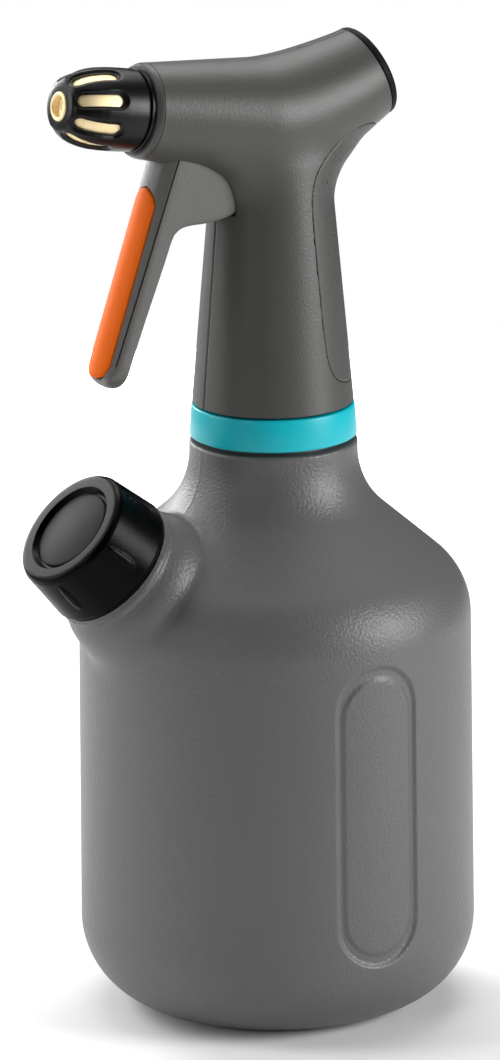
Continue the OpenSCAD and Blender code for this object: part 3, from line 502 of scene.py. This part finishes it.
def sleeve(rings):
    """A closed body through rings of points."""
    bm = bmesh.new()
    loops = []
    for ring in rings:
        verts = [bm.verts.new(p) for p in ring]
        loops.append([bm.edges.new(pair) for pair in zip(verts, verts[1:] + verts[:1])])
    for a, b in zip(loops, loops[1:]):
        bmesh.ops.bridge_loops(bm, edges=a + b)
    for loop in (loops[0], loops[-1]):
        bmesh.ops.contextual_create(bm, geom=loop)
    bmesh.ops.recalc_face_normals(bm, faces=bm.faces)
    return bm


def column_body(d, z1, n=64):
    """The handle as a plain body from z1 up, drawn in by d."""
    heights = [z1, *np.linspace(WAIST_Z, COLUMN_Z, 12), COLUMN_TOP]
    turns = np.linspace(0, 2 * math.pi, n, endpoint=False)
    rings = []
    for z in heights:
        front, back = front_reach(min(z, COLUMN_Z)), back_reach(z, min(z, COLUMN_Z))
        rings.append([((front if math.cos(a) < 0 else back) * math.cos(a) - d * math.cos(a),
                       (cone_r(z) - d) * math.sin(a), z) for a in turns])
    return sleeve(rings)


def barrel_body(d, n=64):
    """The barrel as a plain body, drawn in by d."""
    turns = np.linspace(0, 2 * math.pi, n, endpoint=False)
    rings = []
    for x, z, tilt, up, down, side in BARREL.T[::6]:
        heights = [((up if math.sin(a) > 0 else down) - d) * math.sin(a) for a in turns]
        rings.append([(x - h * math.sin(tilt), (side - d) * math.cos(a), z + h * math.cos(tilt))
                      for h, a in zip(heights, turns)])
    return sleeve(rings)


def add_piece(bm, name, material, body, nodes=(), sharp=38):
    """Turns a shape to metres and puts it on its body, in place of the nodes that it stands for."""
    bmesh.ops.scale(bm, vec=(0.001, 0.001, 0.001), verts=bm.verts)
    obj = to_object(bm, name)
    obj.data.shade_smooth()
    obj.data.set_sharp_from_angle(angle=math.radians(sharp))
    obj.data.materials.append(material)
    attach(obj, body)
    if nodes:
        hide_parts(*nodes)
    return obj


# ---------------------------------------------------------------- materials
DRIFT, GLOSS_SWING, PLASTIC_IOR = 40.0, 0.06, 1.5  # DRIFT in millimetres


def colour(hex_code):
    """An sRGB hex value as linear RGBA."""
    parts = [int(hex_code[i:i + 2], 16) / 255 for i in (1, 3, 5)]
    return (*[c / 12.92 if c < 0.04045 else ((c + 0.055) / 1.055) ** 2.4 for c in parts], 1.0)


def add(tree, kind, values=None, links=None, **settings):
    """Adds a node with its settings, values and links."""
    node = tree.nodes.new(kind)
    for key, value in settings.items():
        setattr(node, key, value)
    for key, value in (values or {}).items():
        node.inputs[key].default_value = value
    for key, source in (links or {}).items():
        tree.links.new(source, node.inputs[key])
    return node


def new_material(name):
    """A material, its nodes, its shader and the place on the piece, in metres."""
    mat = bpy.data.materials.new(name)
    mat.use_nodes = True
    tree = mat.node_tree
    return mat, tree, tree.nodes["Principled BSDF"], add(tree, "ShaderNodeTexCoord").outputs["Object"]


def moulded(name, tone, darker, rough, grain, depth, specular=0.5):
    """Moulded plastic. Its colour drifts a little over patches of a few centimetres, and the mould's surface
    leaves a grain, given by its width and depth in millimetres, in which the gloss varies too.

    A real mould's grain is about 0.1 mm wide and 0.02 mm deep, too fine to show. It is drawn 0.3 to 0.8 mm
    wide, and deeper where the surface is meant to look dull.
    """
    mat, tree, shader, where = new_material(name)
    drift = add(tree, "ShaderNodeTexNoise", {"Scale": 1000 / DRIFT, "Detail": 3.0, "Roughness": 0.55},
                {"Vector": where})
    tint = add(tree, "ShaderNodeMix", {6: colour(tone), 7: colour(darker)}, {0: drift.outputs["Fac"]},
               data_type="RGBA")
    tree.links.new(tint.outputs[2], shader.inputs["Base Color"])
    pits = add(tree, "ShaderNodeTexNoise", {"Scale": 1000 / grain, "Detail": 2.0, "Roughness": 0.6},
               {"Vector": where})
    gloss = add(tree, "ShaderNodeMapRange", {"To Min": rough - GLOSS_SWING, "To Max": rough + GLOSS_SWING},
                {"Value": pits.outputs["Fac"]})
    tree.links.new(gloss.outputs["Result"], shader.inputs["Roughness"])
    bump = add(tree, "ShaderNodeBump", {"Strength": 1.0, "Distance": depth / 1000},
               {"Height": pits.outputs["Fac"]})
    tree.links.new(bump.outputs["Normal"], shader.inputs["Normal"])
    shader.inputs["IOR"].default_value = PLASTIC_IOR
    shader.inputs["Specular IOR Level"].default_value = specular
    return mat


def metal(name, tone, darker, rough, pitch, depth):
    """Turned or drawn metal: tool marks across the nozzle's length, given by their pitch and depth in
    millimetres. Real ones are about 0.05 mm apart, and these are drawn coarser so that they show."""
    mat, tree, shader, where = new_material(name)
    turned = add(tree, "ShaderNodeMapping", {"Rotation": (0, NOSE_TILT, 0), "Scale": (1.0, 0.02, 0.02)},
                 {"Vector": where})
    marks = add(tree, "ShaderNodeTexNoise", {"Scale": 1000 / pitch, "Detail": 2.0},
                {"Vector": turned.outputs["Vector"]})
    tint = add(tree, "ShaderNodeMix", {6: colour(tone), 7: colour(darker)}, {0: marks.outputs["Fac"]},
               data_type="RGBA")
    tree.links.new(tint.outputs[2], shader.inputs["Base Color"])
    gloss = add(tree, "ShaderNodeMapRange", {"To Min": rough - 0.06, "To Max": rough + 0.08},
                {"Value": marks.outputs["Fac"]})
    tree.links.new(gloss.outputs["Result"], shader.inputs["Roughness"])
    bump = add(tree, "ShaderNodeBump", {"Strength": 1.0, "Distance": depth / 1000},
               {"Height": marks.outputs["Fac"]})
    tree.links.new(bump.outputs["Normal"], shader.inputs["Normal"])
    shader.inputs["Metallic"].default_value = 1.0
    return mat


# Blow-moulded HDPE: waxy and dull, with broad soft highlights. Its mould is sand-blasted, which gives the
# coarsest grain of all, drawn at 0.8 mm
bottle_hdpe = moulded("blow_moulded_grey_hdpe", "#575757", "#535353", 0.43, 0.8, 0.2, specular=0.55)
# Injection-moulded ABS from a spark-eroded mould: satin, with long soft highlights along the barrel
housing_abs = moulded("satin_grey_abs", "#464644", "#434341", 0.42, 0.6, 0.07, specular=0.43)
# The same ABS with a slightly deeper grain, which makes the grip look duller than the housing
grip_abs = moulded("grained_grey_abs", "#444442", "#41413F", 0.48, 0.6, 0.08, specular=0.43)
# Satin ABS of a lighter grey: the trigger's flat sides show one even tone
trigger_abs = moulded("satin_grey_trigger_abs", "#5A5957", "#565553", 0.44, 0.55, 0.09, specular=0.4)
# Satin ABS dyed black: only its edges catch narrow grey highlights
black_abs = moulded("satin_black_abs", "#080808", "#060606", 0.34, 0.5, 0.03, specular=0.25)
# The end cap's ABS has a dull grain, so that the cap stays dark in the light from behind
dull_abs = moulded("grained_black_abs", "#0A0A0A", "#070707", 0.55, 0.45, 0.05, specular=0.12)
# Black polypropylene with a satin finish: deep black, with a faint broad sheen
cap_pp = moulded("satin_black_polypropylene", "#020202", "#010101", 0.3, 0.5, 0.03, specular=0.065)
# The cap's face is spark-eroded: it spreads the light and looks greyer than the wall around it
face_pp = moulded("grained_black_polypropylene", "#090909", "#060606", 0.55, 0.45, 0.06, specular=0.12)
# Teal polypropylene from an almost polished mould: a bright and nearly smooth highlight
teal_pp = moulded("teal_polypropylene", "#04B1BD", "#03A9B6", 0.34, 0.7, 0.004, specular=0.4)
# Thermoplastic elastomer, soft to the touch: matt, with hardly a highlight
orange_tpe = moulded("soft_touch_orange_elastomer", "#E8680E", "#E2620C", 0.6, 0.5, 0.03, specular=0.12)
# Undyed polypropylene of the inner parts: milky and smooth
natural_pp = moulded("natural_polypropylene", "#D9DBD8", "#D2D5D1", 0.35, 0.6, 0.006)
# Nitrile rubber of the seals: black and matt
nbr = moulded("moulded_nitrile_rubber", "#1A1A1A", "#151515", 0.6, 0.3, 0.01)
# Fine-turned brass: pale gold, with a highlight spread wide by its tool marks
brass = metal("fine_turned_brass", "#FFEEC6", "#F8E2B2", 0.62, 0.25, 0.002)
# Drawn stainless steel of the balls, the pin and the springs: bright, with narrow highlights
steel = metal("drawn_stainless_steel", "#C9C9C6", "#BDBDBA", 0.25, 0.3, 0.003)


# ---------------------------------------------------------------- bottle
def thread_rings(r, z1, count, pitch):
    """An outline of ribs that stand on a finish of radius r."""
    return [(r + out, z1 + i * pitch + up) for i in range(count)
            for out, up in zip((0, THREAD_H, THREAD_H, 0), THREAD_SIDE)]


def cut_flat(bm, place, height, reach, below=3.4):
    """Cuts off what stands above a height in a frame, within reach of its axis, and closes the cut. Only
    faces from a little below the height upwards are looked at."""
    back = place.inverted()
    near = [f for f in bm.faces if (back @ f.calc_center_median()).xy.length < reach
            and (back @ f.calc_center_median()).z > height - below]
    edges = {e for f in near for e in f.edges}
    verts = {v for f in near for v in f.verts}
    bmesh.ops.bisect_plane(bm, geom=[*verts, *edges, *near], plane_co=place @ Vector((0, 0, height)),
                           plane_no=place.to_3x3() @ Vector((0, 0, 1)), clear_outer=True)
    bmesh.ops.holes_fill(bm, edges=[e for e in bm.edges if e.is_boundary], sides=0)


def make_bottle():
    # The rough body only gives the skin its faces. settle() then brings them to bottle_surface
    rough = join(
        spun([(0, 0), (FOOT_R - BASE_ROUND, 0), *arc(FOOT_R - BASE_ROUND, BASE_ROUND, BASE_ROUND, -90, 0, 12),
              *arc(BOTTLE_R - SHOULDER_ROUND, SHOULDER_Z, SHOULDER_ROUND, 0, 49.1, 8),
              *arc(NECK_R + NECK_ROUND, 156.7, NECK_ROUND, 229.1, 180, 10), (NECK_R, 164), (0, 164)]),
        spun([(0, -40), (21, -40), (FLARE_R, -8), (FLARE_R, 4), (0, 4)], place=IN_SPOUT))
    skin = even_skin(rough, 1.25)

    def oval_line(p):
        d = stadium_distance(p[:, 0], p[:, 2] - OVAL_Z, OVAL_W, OVAL_H) + 1.6
        return np.where(np.abs(p[:, 1]) > OVAL_Y, d, FAR)

    def spout_end(p):
        return np.where(local(p, IN_SPOUT)[:, 2] > -6, 0, FAR)

    def parting_line(p):
        return np.where(p[:, 2] > PARTING_Z1, p[:, 1], FAR)

    settle(skin, bottle_surface, 3)
    refine(skin, oval_line, 3.0)
    refine(skin, spout_end, 3.0)
    refine(skin, parting_line, 1.3)
    settle(skin, bottle_surface, 2)
    refine(skin, oval_line, 2.6)
    refine(skin, parting_line, 0.8)
    settle(skin, bottle_surface, 3)
    cut_flat(skin, Matrix(), RIM_Z - RIM_EDGE, FAR)
    cut_flat(skin, IN_SPOUT, SPOUT_Z1, 21)
    neck = spun([(0, 155), (NECK_R - 0.5, 155), (NECK_R - 0.5, RIM_Z - RIM_EDGE - 0.6),
                 (NECK_R, RIM_Z - RIM_EDGE - 0.1),
                 *arc(NECK_R - RIM_EDGE, RIM_Z - RIM_EDGE, RIM_EDGE, 0, 90, 6),
                 (FINISH_R, RIM_Z), *thread_rings(FINISH_R, COLLAR_Z + 0.4, 2, 1.8),
                 (FINISH_R, FINISH_Z - 0.3), (FINISH_R - 0.3, FINISH_Z), (0, FINISH_Z)], 160)
    spout = spun([(0, -3), (SPOUT_R, -3), *thread_rings(SPOUT_R, 2.6, 3, 3.2), (SPOUT_R, SPOUT_H - 0.3),
                  (SPOUT_R - 0.3, SPOUT_H), (0, SPOUT_H)], 128, IN_SPOUT)
    neck_bore = spun([(0, 150), (NECK_BORE, 150), (NECK_BORE, FINISH_Z - 0.3), (NECK_BORE + 0.3, FINISH_Z),
                      (NECK_BORE + 0.3, FINISH_Z + 1), (0, FINISH_Z + 1)], 128)
    spout_bore = spun([(0, -24), (SPOUT_BORE, -24), (SPOUT_BORE, SPOUT_H - 0.3), (SPOUT_BORE + 0.3, SPOUT_H),
                       (SPOUT_BORE + 0.3, SPOUT_H + 1), (0, SPOUT_H + 1)], 128, IN_SPOUT)
    whole = combine(combine(skin, neck, "UNION"), spout, "UNION")
    return without_flaps(combine(combine(whole, neck_bore, "DIFFERENCE"), spout_bore, "DIFFERENCE"))


add_piece(make_bottle(), "bottle_body", bottle_hdpe, "bottle", ["bottle"])


# ---------------------------------------------------------------- filler cap
def make_filler_cap():
    """The cap, with six ribs on its wall that start pointed, widen downwards and fade out."""
    side = [(CAP_R1 + (CAP_R2 - CAP_R1) * t / CAP_H, t) for t in np.linspace(1.3, CAP_H - CAP_EDGE, 48)]
    outline = [(0, CAP_DEEP), (CAP_BORE, CAP_DEEP), (CAP_BORE, 0.4), (CAP_R1 - 1.1, 0.0),
               (CAP_R1 - 0.8, 0.1), (CAP_R1 - 0.25, 1.0), *side,
               *arc(CAP_R2 - CAP_EDGE, CAP_H - CAP_EDGE, CAP_EDGE, 12, 80, 7),
               (CAP_R2 - CAP_EDGE - 0.4, CAP_H), (FACE_RIM, CAP_H), (FACE_RIM - 0.3, CAP_H - 0.25),
               (12.6, CAP_H - 1.45), (12.4, CAP_H - 1.6), (11.9, CAP_H - FACE_SINK), (0, CAP_H - FACE_SINK)]
    bm = spun(outline, 384)
    for v in bm.verts:
        r, t = math.hypot(v.co.x, v.co.y), v.co.z
        if r < CAP_BORE + 0.4:
            continue
        turn = (math.atan2(v.co.y, v.co.x) / (2 * math.pi) * RIBS - 0.5) % 1
        across = (turn if turn < 0.5 else 1 - turn) * 2 * math.pi / RIBS * r
        down = (CAP_H - RIB_TOP - t) / RIB_LEN
        if not 0 < down < 1:
            continue
        width = 0.25 + 2.6 * down ** 0.8 * (1 - down) ** 0.5
        proud = RIB_H * max(1 - (across / width) ** 2, 0) ** 0.6 * min(1, 8 * down) * min(1, 5 * (1 - down))
        v.co.x *= 1 + proud / r
        v.co.y *= 1 + proud / r
    bmesh.ops.transform(bm, matrix=IN_SPOUT, verts=bm.verts)
    return bm


add_piece(make_filler_cap(), "filler_cap_shell", cap_pp, "filler_cap", ["filler_cap"])

face_disc = spun([(0, CAP_H - 1.9), (11.7, CAP_H - 1.9), (11.7, CAP_H - 1.3), (11.5, CAP_H - 1.05),
                  (11.2, CAP_H - 0.95), (0, CAP_H - 0.9)], 128, IN_SPOUT)
add_piece(face_disc, "filler_cap_face", face_pp, "filler_cap")


# ---------------------------------------------------------------- collar nut
def make_collar():
    edge, top = COLLAR_EDGE, COLLAR_Z + COLLAR_H
    return spun([(COLLAR_BORE, COLLAR_Z), (COLLAR_BORE + 0.3, COLLAR_Z),
                 *arc(COLLAR_R1 - edge, COLLAR_Z + edge, edge, -90, 0, 5),
                 *arc(COLLAR_R2 - edge, top - edge, edge, 0, 90, 5), (COLLAR_MOUTH + 0.4, top),
                 (COLLAR_MOUTH, top - 0.3), (COLLAR_MOUTH, COLLAR_ROOF), (COLLAR_BORE, COLLAR_ROOF)],
                160, closed=True)


add_piece(make_collar(), "collar_nut_ring", teal_pp, "collar", ["collar_nut"])


# ---------------------------------------------------------------- housing halves and rear grip
def head_skin():
    """The closed outside of the whole head, with nothing cut yet."""
    skin = even_skin(join(column_body(0, HEAD_Z - 4), barrel_body(0)), 0.9)
    settle(skin, head_form, 3)
    return skin


def make_head():
    """The closed outside of the housing, finer along its seam and around the grip."""
    def lines(p):
        return np.minimum(np.abs(p[:, 1]), np.abs(grip_edge(p)))

    skin = head_skin()
    refine(skin, lines, 1.3)
    settle(skin, housing_surface, 2)
    refine(skin, lines, 0.6)
    settle(skin, housing_surface, 3)
    return skin


def ends_cut(bm):
    """Cuts the head off square at the collar, the nose and the tail."""
    bm = combine(bm, box((-60, -60, HEAD_Z - 30), (60, 60, HEAD_Z)), "DIFFERENCE")
    bm = combine(bm, box((-40, -40, 0), (40, 40, 30), IN_NOZZLE), "DIFFERENCE")
    return combine(bm, box((-40, -40, 0), (40, 40, 30), IN_TAIL), "DIFFERENCE")


def slot_body():
    """The space that the trigger swings in."""
    half = TRIGGER_Y + SLOT_GAP
    envelope = box((SLOT_BACK, -half, -90), (60, half, 60), IN_LEVER)
    bar = bmesh.new()
    bmesh.ops.create_cone(bar, cap_ends=True, segments=96, radius1=LEVER_R + SLOT_GAP,
                          radius2=LEVER_R + SLOT_GAP, depth=200,
                          matrix=IN_LEVER @ Matrix.Translation((LEVER_R, 0, 0)))
    envelope = combine(envelope, bar, "UNION")
    return combine(envelope, prism(SLOT_SIDE, half), "INTERSECT")


def make_housing():
    whole = ends_cut(make_head())
    for hollow in (column_body(WALL, HEAD_Z + 2.6), barrel_body(WALL), slot_body()):
        whole = combine(whole, hollow, "DIFFERENCE")
    plug_hole = spun([(0, HEAD_Z - 2), (PLUG_HOLE, HEAD_Z - 2), (PLUG_HOLE, HEAD_Z + 6), (0, HEAD_Z + 6)])
    whole = combine(whole, plug_hole, "DIFFERENCE")
    other = whole.copy()
    left = combine(whole, box((-90, 0, 150), (90, 60, 290)), "DIFFERENCE")
    right = combine(other, box((-90, -60, 150), (90, 0, 290)), "DIFFERENCE")
    return without_flaps(left), without_flaps(right)


left_half, right_half = make_housing()
add_piece(left_half, "housing_left_half", housing_abs, "head", ["shell_left"])
add_piece(right_half, "housing_right_half", housing_abs, "head", ["shell_right"])


def make_grip():
    skin = head_skin()
    refine(skin, grip_edge, 1.4)
    refine(skin, grip_edge, 0.8)
    settle(skin, grip_surface, 3)
    skin = ends_cut(skin)
    middle = GRIP_LINE.mean(axis=0)
    shape = prism([tuple(p + (middle - p) * GRIP_GAP / max(np.linalg.norm(middle - p), 1))
                   for p in GRIP_LINE], 40)
    skin = combine(skin, shape, "INTERSECT")
    for hollow in (column_body(GRIP_T, HEAD_Z - 6), barrel_body(GRIP_T)):
        skin = combine(skin, hollow, "DIFFERENCE")
    dimples = bmesh.new()
    for i in range(DIMPLES):
        z = DIMPLE_Z + DIMPLE_PITCH * i
        back = back_reach(z, min(z, COLUMN_Z))
        for side in (-1, 1):
            turn = side * math.radians(DIMPLE_TURNS[i % 2])
            at = ((back + DIMPLE_OUT) * math.cos(turn), (cone_r(z) + DIMPLE_OUT) * math.sin(turn), z)
            bmesh.ops.create_icosphere(dimples, subdivisions=3, radius=DIMPLE_R,
                                       matrix=Matrix.Translation(at))
    return without_flaps(combine(skin, dimples, "DIFFERENCE"))


add_piece(make_grip(), "rear_grip_cover", grip_abs, "head", ["rear_grip"])

plug_r = TAIL_R - WALL - 0.1
end_disc = spun([(0, 1.0), (TAIL_R - WALL - 1.5, 1.0), (TAIL_R - WALL - 1.5, -4), (plug_r, -4),
                 (plug_r, 0), (TAIL_R - 0.45, 0),
                 (TAIL_R - 0.3, 0.25), (TAIL_R - 0.02, 0.5), (TAIL_R, 1.3), (TAIL_R - 0.15, 1.8),
                 (TAIL_R - 0.6, 2.3), *[((TAIL_R - 1) * math.cos(a), 2.5 + 0.9 * math.sin(a))
                                        for a in np.linspace(0, math.pi / 2, 12)][:-1], (0, 3.4)],
                128, IN_TAIL)
add_piece(end_disc, "rear_end_cap", dull_abs, "head", ["end_cap"])

bezel = spun([(BARREL_R1 - WALL, 0.0), (BARREL_R1 - 0.35, 0.0), (BARREL_R1 - 0.3, 0.12),
              (BARREL_R1 - 0.02, 0.2), (BARREL_R1 - 0.05, 0.45), (12.45, 1.6), (12.1, 1.9),
              (BARREL_R1 - WALL, 1.9)],
             128, IN_NOZZLE, closed=True)
add_piece(bezel, "nose_bezel", housing_abs, "head", ["nose_ring"])


# ---------------------------------------------------------------- nozzle
def make_nozzle_cap():
    """The cap, with a shallow hollow around each window. Its outline is cut up evenly first."""
    outer = np.array(NOZZLE_SIDE)
    at = np.concatenate([[0], np.cumsum(np.linalg.norm(np.diff(outer, axis=0), axis=1))])
    even = np.linspace(0, at[-1], 72)
    smooth = np.stack([np.interp(even, at, outer[:, i]) for i in (0, 1)], axis=1)
    bm = spun([tuple(p) for p in smooth] + NOZZLE_INSIDE, 256, closed=True)
    for v in bm.verts:
        r, g = math.hypot(v.co.x, v.co.y), v.co.z
        if r < np.interp(g, outer[:, 1], outer[:, 0]) - 0.4:
            continue
        turn = (math.atan2(v.co.y, v.co.x) / (2 * math.pi) * SLOTS - SLOT_TURN) % 1
        across = (turn if turn < 0.5 else 1 - turn) * 2 * math.pi / SLOTS * r
        past = max(RECESS_G1 - g, g - RECESS_G2, 0)
        d = math.hypot(across, past) - RECESS_W / 2
        dip = RECESS_DEEP * (1 - float(step(d, -0.8, 0.2)))
        scale = 1 - dip / r
        v.co.x *= scale
        v.co.y *= scale
    windows = bmesh.new()
    for i in range(SLOTS):
        turn = Matrix.Rotation(2 * math.pi * (i + SLOT_TURN) / SLOTS, 4, "Z")
        line = [(x, (SLOT_G1 + SLOT_G2) / 2 + z) for x, z in
                arc(0, (SLOT_G2 - SLOT_G1) / 2, SLOT_W / 2, 0, 180, 12)
                + arc(0, -(SLOT_G2 - SLOT_G1) / 2, SLOT_W / 2, 180, 360, 12)]
        cutter = prism(line, 10)
        bmesh.ops.transform(cutter, verts=cutter.verts, matrix=turn @ Matrix.Rotation(-math.pi / 2, 4, "Z")
                            @ Matrix.Translation((0, 13, 0)))
        windows = join(windows, cutter)
    bm = without_flaps(combine(bm, windows, "DIFFERENCE"))
    bmesh.ops.transform(bm, matrix=IN_NOZZLE, verts=bm.verts)
    return bm


add_piece(make_nozzle_cap(), "nozzle_grip_cap", black_abs, "nozzle_cap", ["nozzle_cap"])

add_piece(spun(CORE_SIDE, 128, IN_NOZZLE), "nozzle_brass_core", brass, "nozzle_core",
          ["nozzle_core"])
add_piece(spun(STEM_SIDE, 96, IN_NOZZLE, closed=True), "nozzle_stem_flange", black_abs, "head",
          ["nozzle_stem"])


# ---------------------------------------------------------------- trigger
def make_trigger():
    """The lever with the space between its side walls, the slit along them and the hole for the pin."""
    skin = even_skin(prism([tuple(p) for p in TRIGGER_LINE], TRIGGER_Y), 0.7)

    def bed_edge(p):
        return np.abs(pad_oval(p)) + 9 * (local(p, IN_LEVER)[:, 0] > 4)

    settle(skin, trigger_surface, 4)
    refine(skin, bed_edge, 1.2)
    settle(skin, trigger_with_bed, 4)
    cos, sin = math.cos(LEVER_TILT), math.sin(LEVER_TILT)

    def at(back, up):
        return (LEVER[0] + back * cos + up * sin, LEVER[1] - back * sin + up * cos)

    hood = (HOOD_Z - LEVER[1] + LEVER_WEB * sin) / cos
    space = [at(LEVER_WEB, -LEVER_LEN), at(LEVER_WEB, hood), (-80, HOOD_Z), (-80, 300), (60, 300),
             at(90, -LEVER_LEN)]
    skin = combine(skin, prism(space, TRIGGER_IN), "DIFFERENCE")
    middle = join(box((-70, -GROOVE_Y2, GROOVE_STEP), (0, GROOVE_Y2, 260)),
                  box((-70, -GROOVE_Y1, 180), (0, GROOVE_Y1, GROOVE_STEP)))
    skin = combine(skin, combine(prism(GROOVE, 9), middle, "DIFFERENCE"), "DIFFERENCE")
    return without_flaps(combine(skin, rod(PIVOT_R, *PIVOT, 12), "DIFFERENCE"))


add_piece(make_trigger(), "trigger_lever", trigger_abs, "trigger", ["trigger"])


def make_pad():
    line = [(x, z - PAD_MID) for x, z in arc(0, (PAD_H - PAD_W) / 2, PAD_W / 2, 0, 180, 16)
            + arc(0, -(PAD_H - PAD_W) / 2, PAD_W / 2, 180, 360, 16)]
    block = prism(line, 3)
    bmesh.ops.transform(block, verts=block.verts, matrix=IN_LEVER @ Matrix.Translation((1.6, 0, 0))
                        @ Matrix.Rotation(-math.pi / 2, 4, "Z"))
    skin = even_skin(block, 0.45)
    settle(skin, pad_surface, 8)
    return skin


add_piece(make_pad(), "trigger_finger_pad", orange_tpe, "trigger", ["trigger_grip"])


# ---------------------------------------------------------------- inner nodes keep their shape
INNER = {
    natural_pp: ["neck_plug", "pump_body", "piston", "inlet_seat", "dip_tube", "outlet_tube", "swirl_plug"],
    nbr: ["filler_seal", "neck_seal", "vent_valve", "piston_seal", "nozzle_oring"],
    black_abs: ["gland", "outlet_plug", "tube_filter"],
    steel: ["inlet_ball", "outlet_ball", "pivot_pin"],
}
for material, names in INNER.items():
    for node in names:
        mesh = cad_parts[node].data
        mesh.materials.clear()
        mesh.materials.append(material)


def add_spring(node, joint, axis, fixed_end, length, stroke):
    """A steel coil made from the spring's own node and put on the head in its place. It does not shorten as
    its joint moves: joint, axis, fixed_end, length and stroke are not used.
    """
    bm = bmesh.new()
    bm.from_mesh(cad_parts[node].data)
    bmesh.ops.scale(bm, vec=(1000, 1000, 1000), verts=bm.verts)
    bmesh.ops.remove_doubles(bm, verts=bm.verts, dist=1e-3)
    coil = add_piece(bm, node + "_coil", steel, "head", [node])
    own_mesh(coil)


add_spring("return_spring", "trigger_pull", (1, 0, 0), **RETURN_SPRING)
add_spring("outlet_spring", "outlet_ball_lift", (0, 0, 1), **OUTLET_SPRING)


# ---------------------------------------------------------------- floor, light and camera, in metres
FLOOR_R, SHADOW_R, WHITE_R = 0.75, 0.28, 0.66
# The camera is 31 degrees left of the front, 15 above level and 2.2 metres away
CAMERA_AT, CAMERA_TURN = (-1.0892, -1.8128, 0.7064), -121
AHEAD, ACROSS = Vector((0.49455, 0.82899, -0.26163)), Vector((0.85577, -0.51727, -0.00923))
LENS, SENSOR, CLIP_END = 270.85, 36, 50
AIM = Vector((0, 0, 0.13))
# Of each soft box: degrees to the right of the camera, degrees up, distance, size and power in watts
SOFT_BOXES = {
    "soft_box_right": (71, 16, 1.2, (0.5, 0.6), 15.5),
    "soft_box_left": (-90, 16, 1.2, (0.5, 0.6), 4.9),
    "soft_box_left_high": (-90, 45, 1.3, (0.5, 0.5), 4.5),
    "soft_box_left_rim": (-140, 16, 1.2, (0.5, 0.6), 11.3),
    "strip_behind_low": (180, 40, 1.5, (0.9, 0.3), 3),
    "strip_behind_high": (180, 62, 1.5, (1.2, 0.4), 9.4),
    "soft_box_above": (180, 80, 1.5, (1.6, 1.6), 8.4),
    "small_front": (-38, 16, 1.4, (0.22, 0.3), 2.1),
}


def make_stage():
    bm = bmesh.new()
    bmesh.ops.create_circle(bm, cap_ends=True, segments=128, radius=FLOOR_R)
    floor = to_object(bm, "floor")
    # Pale matt paint: an even ground that takes a soft shadow and gives no highlight
    mat, tree, shader, where = new_material("pale_painted_floor")
    drift = add(tree, "ShaderNodeTexNoise", {"Scale": 2.0, "Detail": 2.0}, {"Vector": where})
    tint = add(tree, "ShaderNodeMix", {6: colour("#F4F4F3"), 7: colour("#F1F1F1")}, {0: drift.outputs["Fac"]},
               data_type="RGBA")
    tree.links.new(tint.outputs[2], shader.inputs["Base Color"])
    shader.inputs["Roughness"].default_value = 0.9
    shader.inputs["Specular IOR Level"].default_value = 0.1
    # Painted light: away from the sprayer the floor glows, for the camera only, rising to the white of the
    # surround, so that it shows no horizon; the soft boxes do not light it that bright
    away = add(tree, "ShaderNodeVectorMath", links={0: where}, operation="LENGTH").outputs["Value"]
    rise = add(tree, "ShaderNodeMapRange", {"From Min": SHADOW_R, "From Max": WHITE_R}, {"Value": away},
               interpolation_type="SMOOTHSTEP")
    seen = add(tree, "ShaderNodeLightPath").outputs["Is Camera Ray"]
    glow = add(tree, "ShaderNodeMath", links={0: rise.outputs["Result"], 1: seen}, operation="MULTIPLY")
    tree.links.new(glow.outputs["Value"], shader.inputs["Emission Strength"])
    shader.inputs["Emission Color"].default_value = (1, 1, 1, 1)
    floor.data.materials.append(mat)


def soft_box(name, azimuth, height, away, size, power):
    """A soft box aimed at the middle of the sprayer."""
    data = bpy.data.lights.new(name, "AREA")
    data.shape = "RECTANGLE"
    data.size, data.size_y = size
    data.energy = power
    turn, rise = math.radians(azimuth + CAMERA_TURN), math.radians(height)
    toward = Vector((math.cos(turn) * math.cos(rise), math.sin(turn) * math.cos(rise), math.sin(rise)))
    light = bpy.data.objects.new(name, data)
    light.location = AIM + away * toward
    light.rotation_euler = (-toward).to_track_quat("-Z", "Y").to_euler()
    bpy.context.scene.collection.objects.link(light)


def make_light():
    # A white surround that only the camera sees, so that the soft boxes alone shade the sprayer
    world = bpy.data.worlds.new("studio")
    bpy.context.scene.world = world
    world.use_nodes = True
    tree = world.node_tree
    seen = add(tree, "ShaderNodeLightPath").outputs["Is Camera Ray"]
    tree.links.new(seen, tree.nodes["Background"].inputs["Strength"])
    tree.nodes["Background"].inputs["Color"].default_value = (1, 1, 1, 1)
    for name, settings in SOFT_BOXES.items():
        soft_box(name, *settings)


def make_camera():
    data = bpy.data.cameras.new("camera")
    data.sensor_width = SENSOR
    data.lens = LENS
    data.clip_end = CLIP_END
    camera = bpy.data.objects.new("camera", data)
    ahead = AHEAD.normalized()
    right = (ACROSS - ACROSS.dot(ahead) * ahead).normalized()
    turn = Matrix((right, right.cross(ahead), -ahead)).transposed()
    camera.matrix_world = Matrix.Translation(CAMERA_AT) @ turn.to_4x4()
    bpy.context.scene.collection.objects.link(camera)
    bpy.context.scene.camera = camera


make_stage()
make_light()
make_camera()
bpy.context.scene.view_settings.view_transform = "Standard"
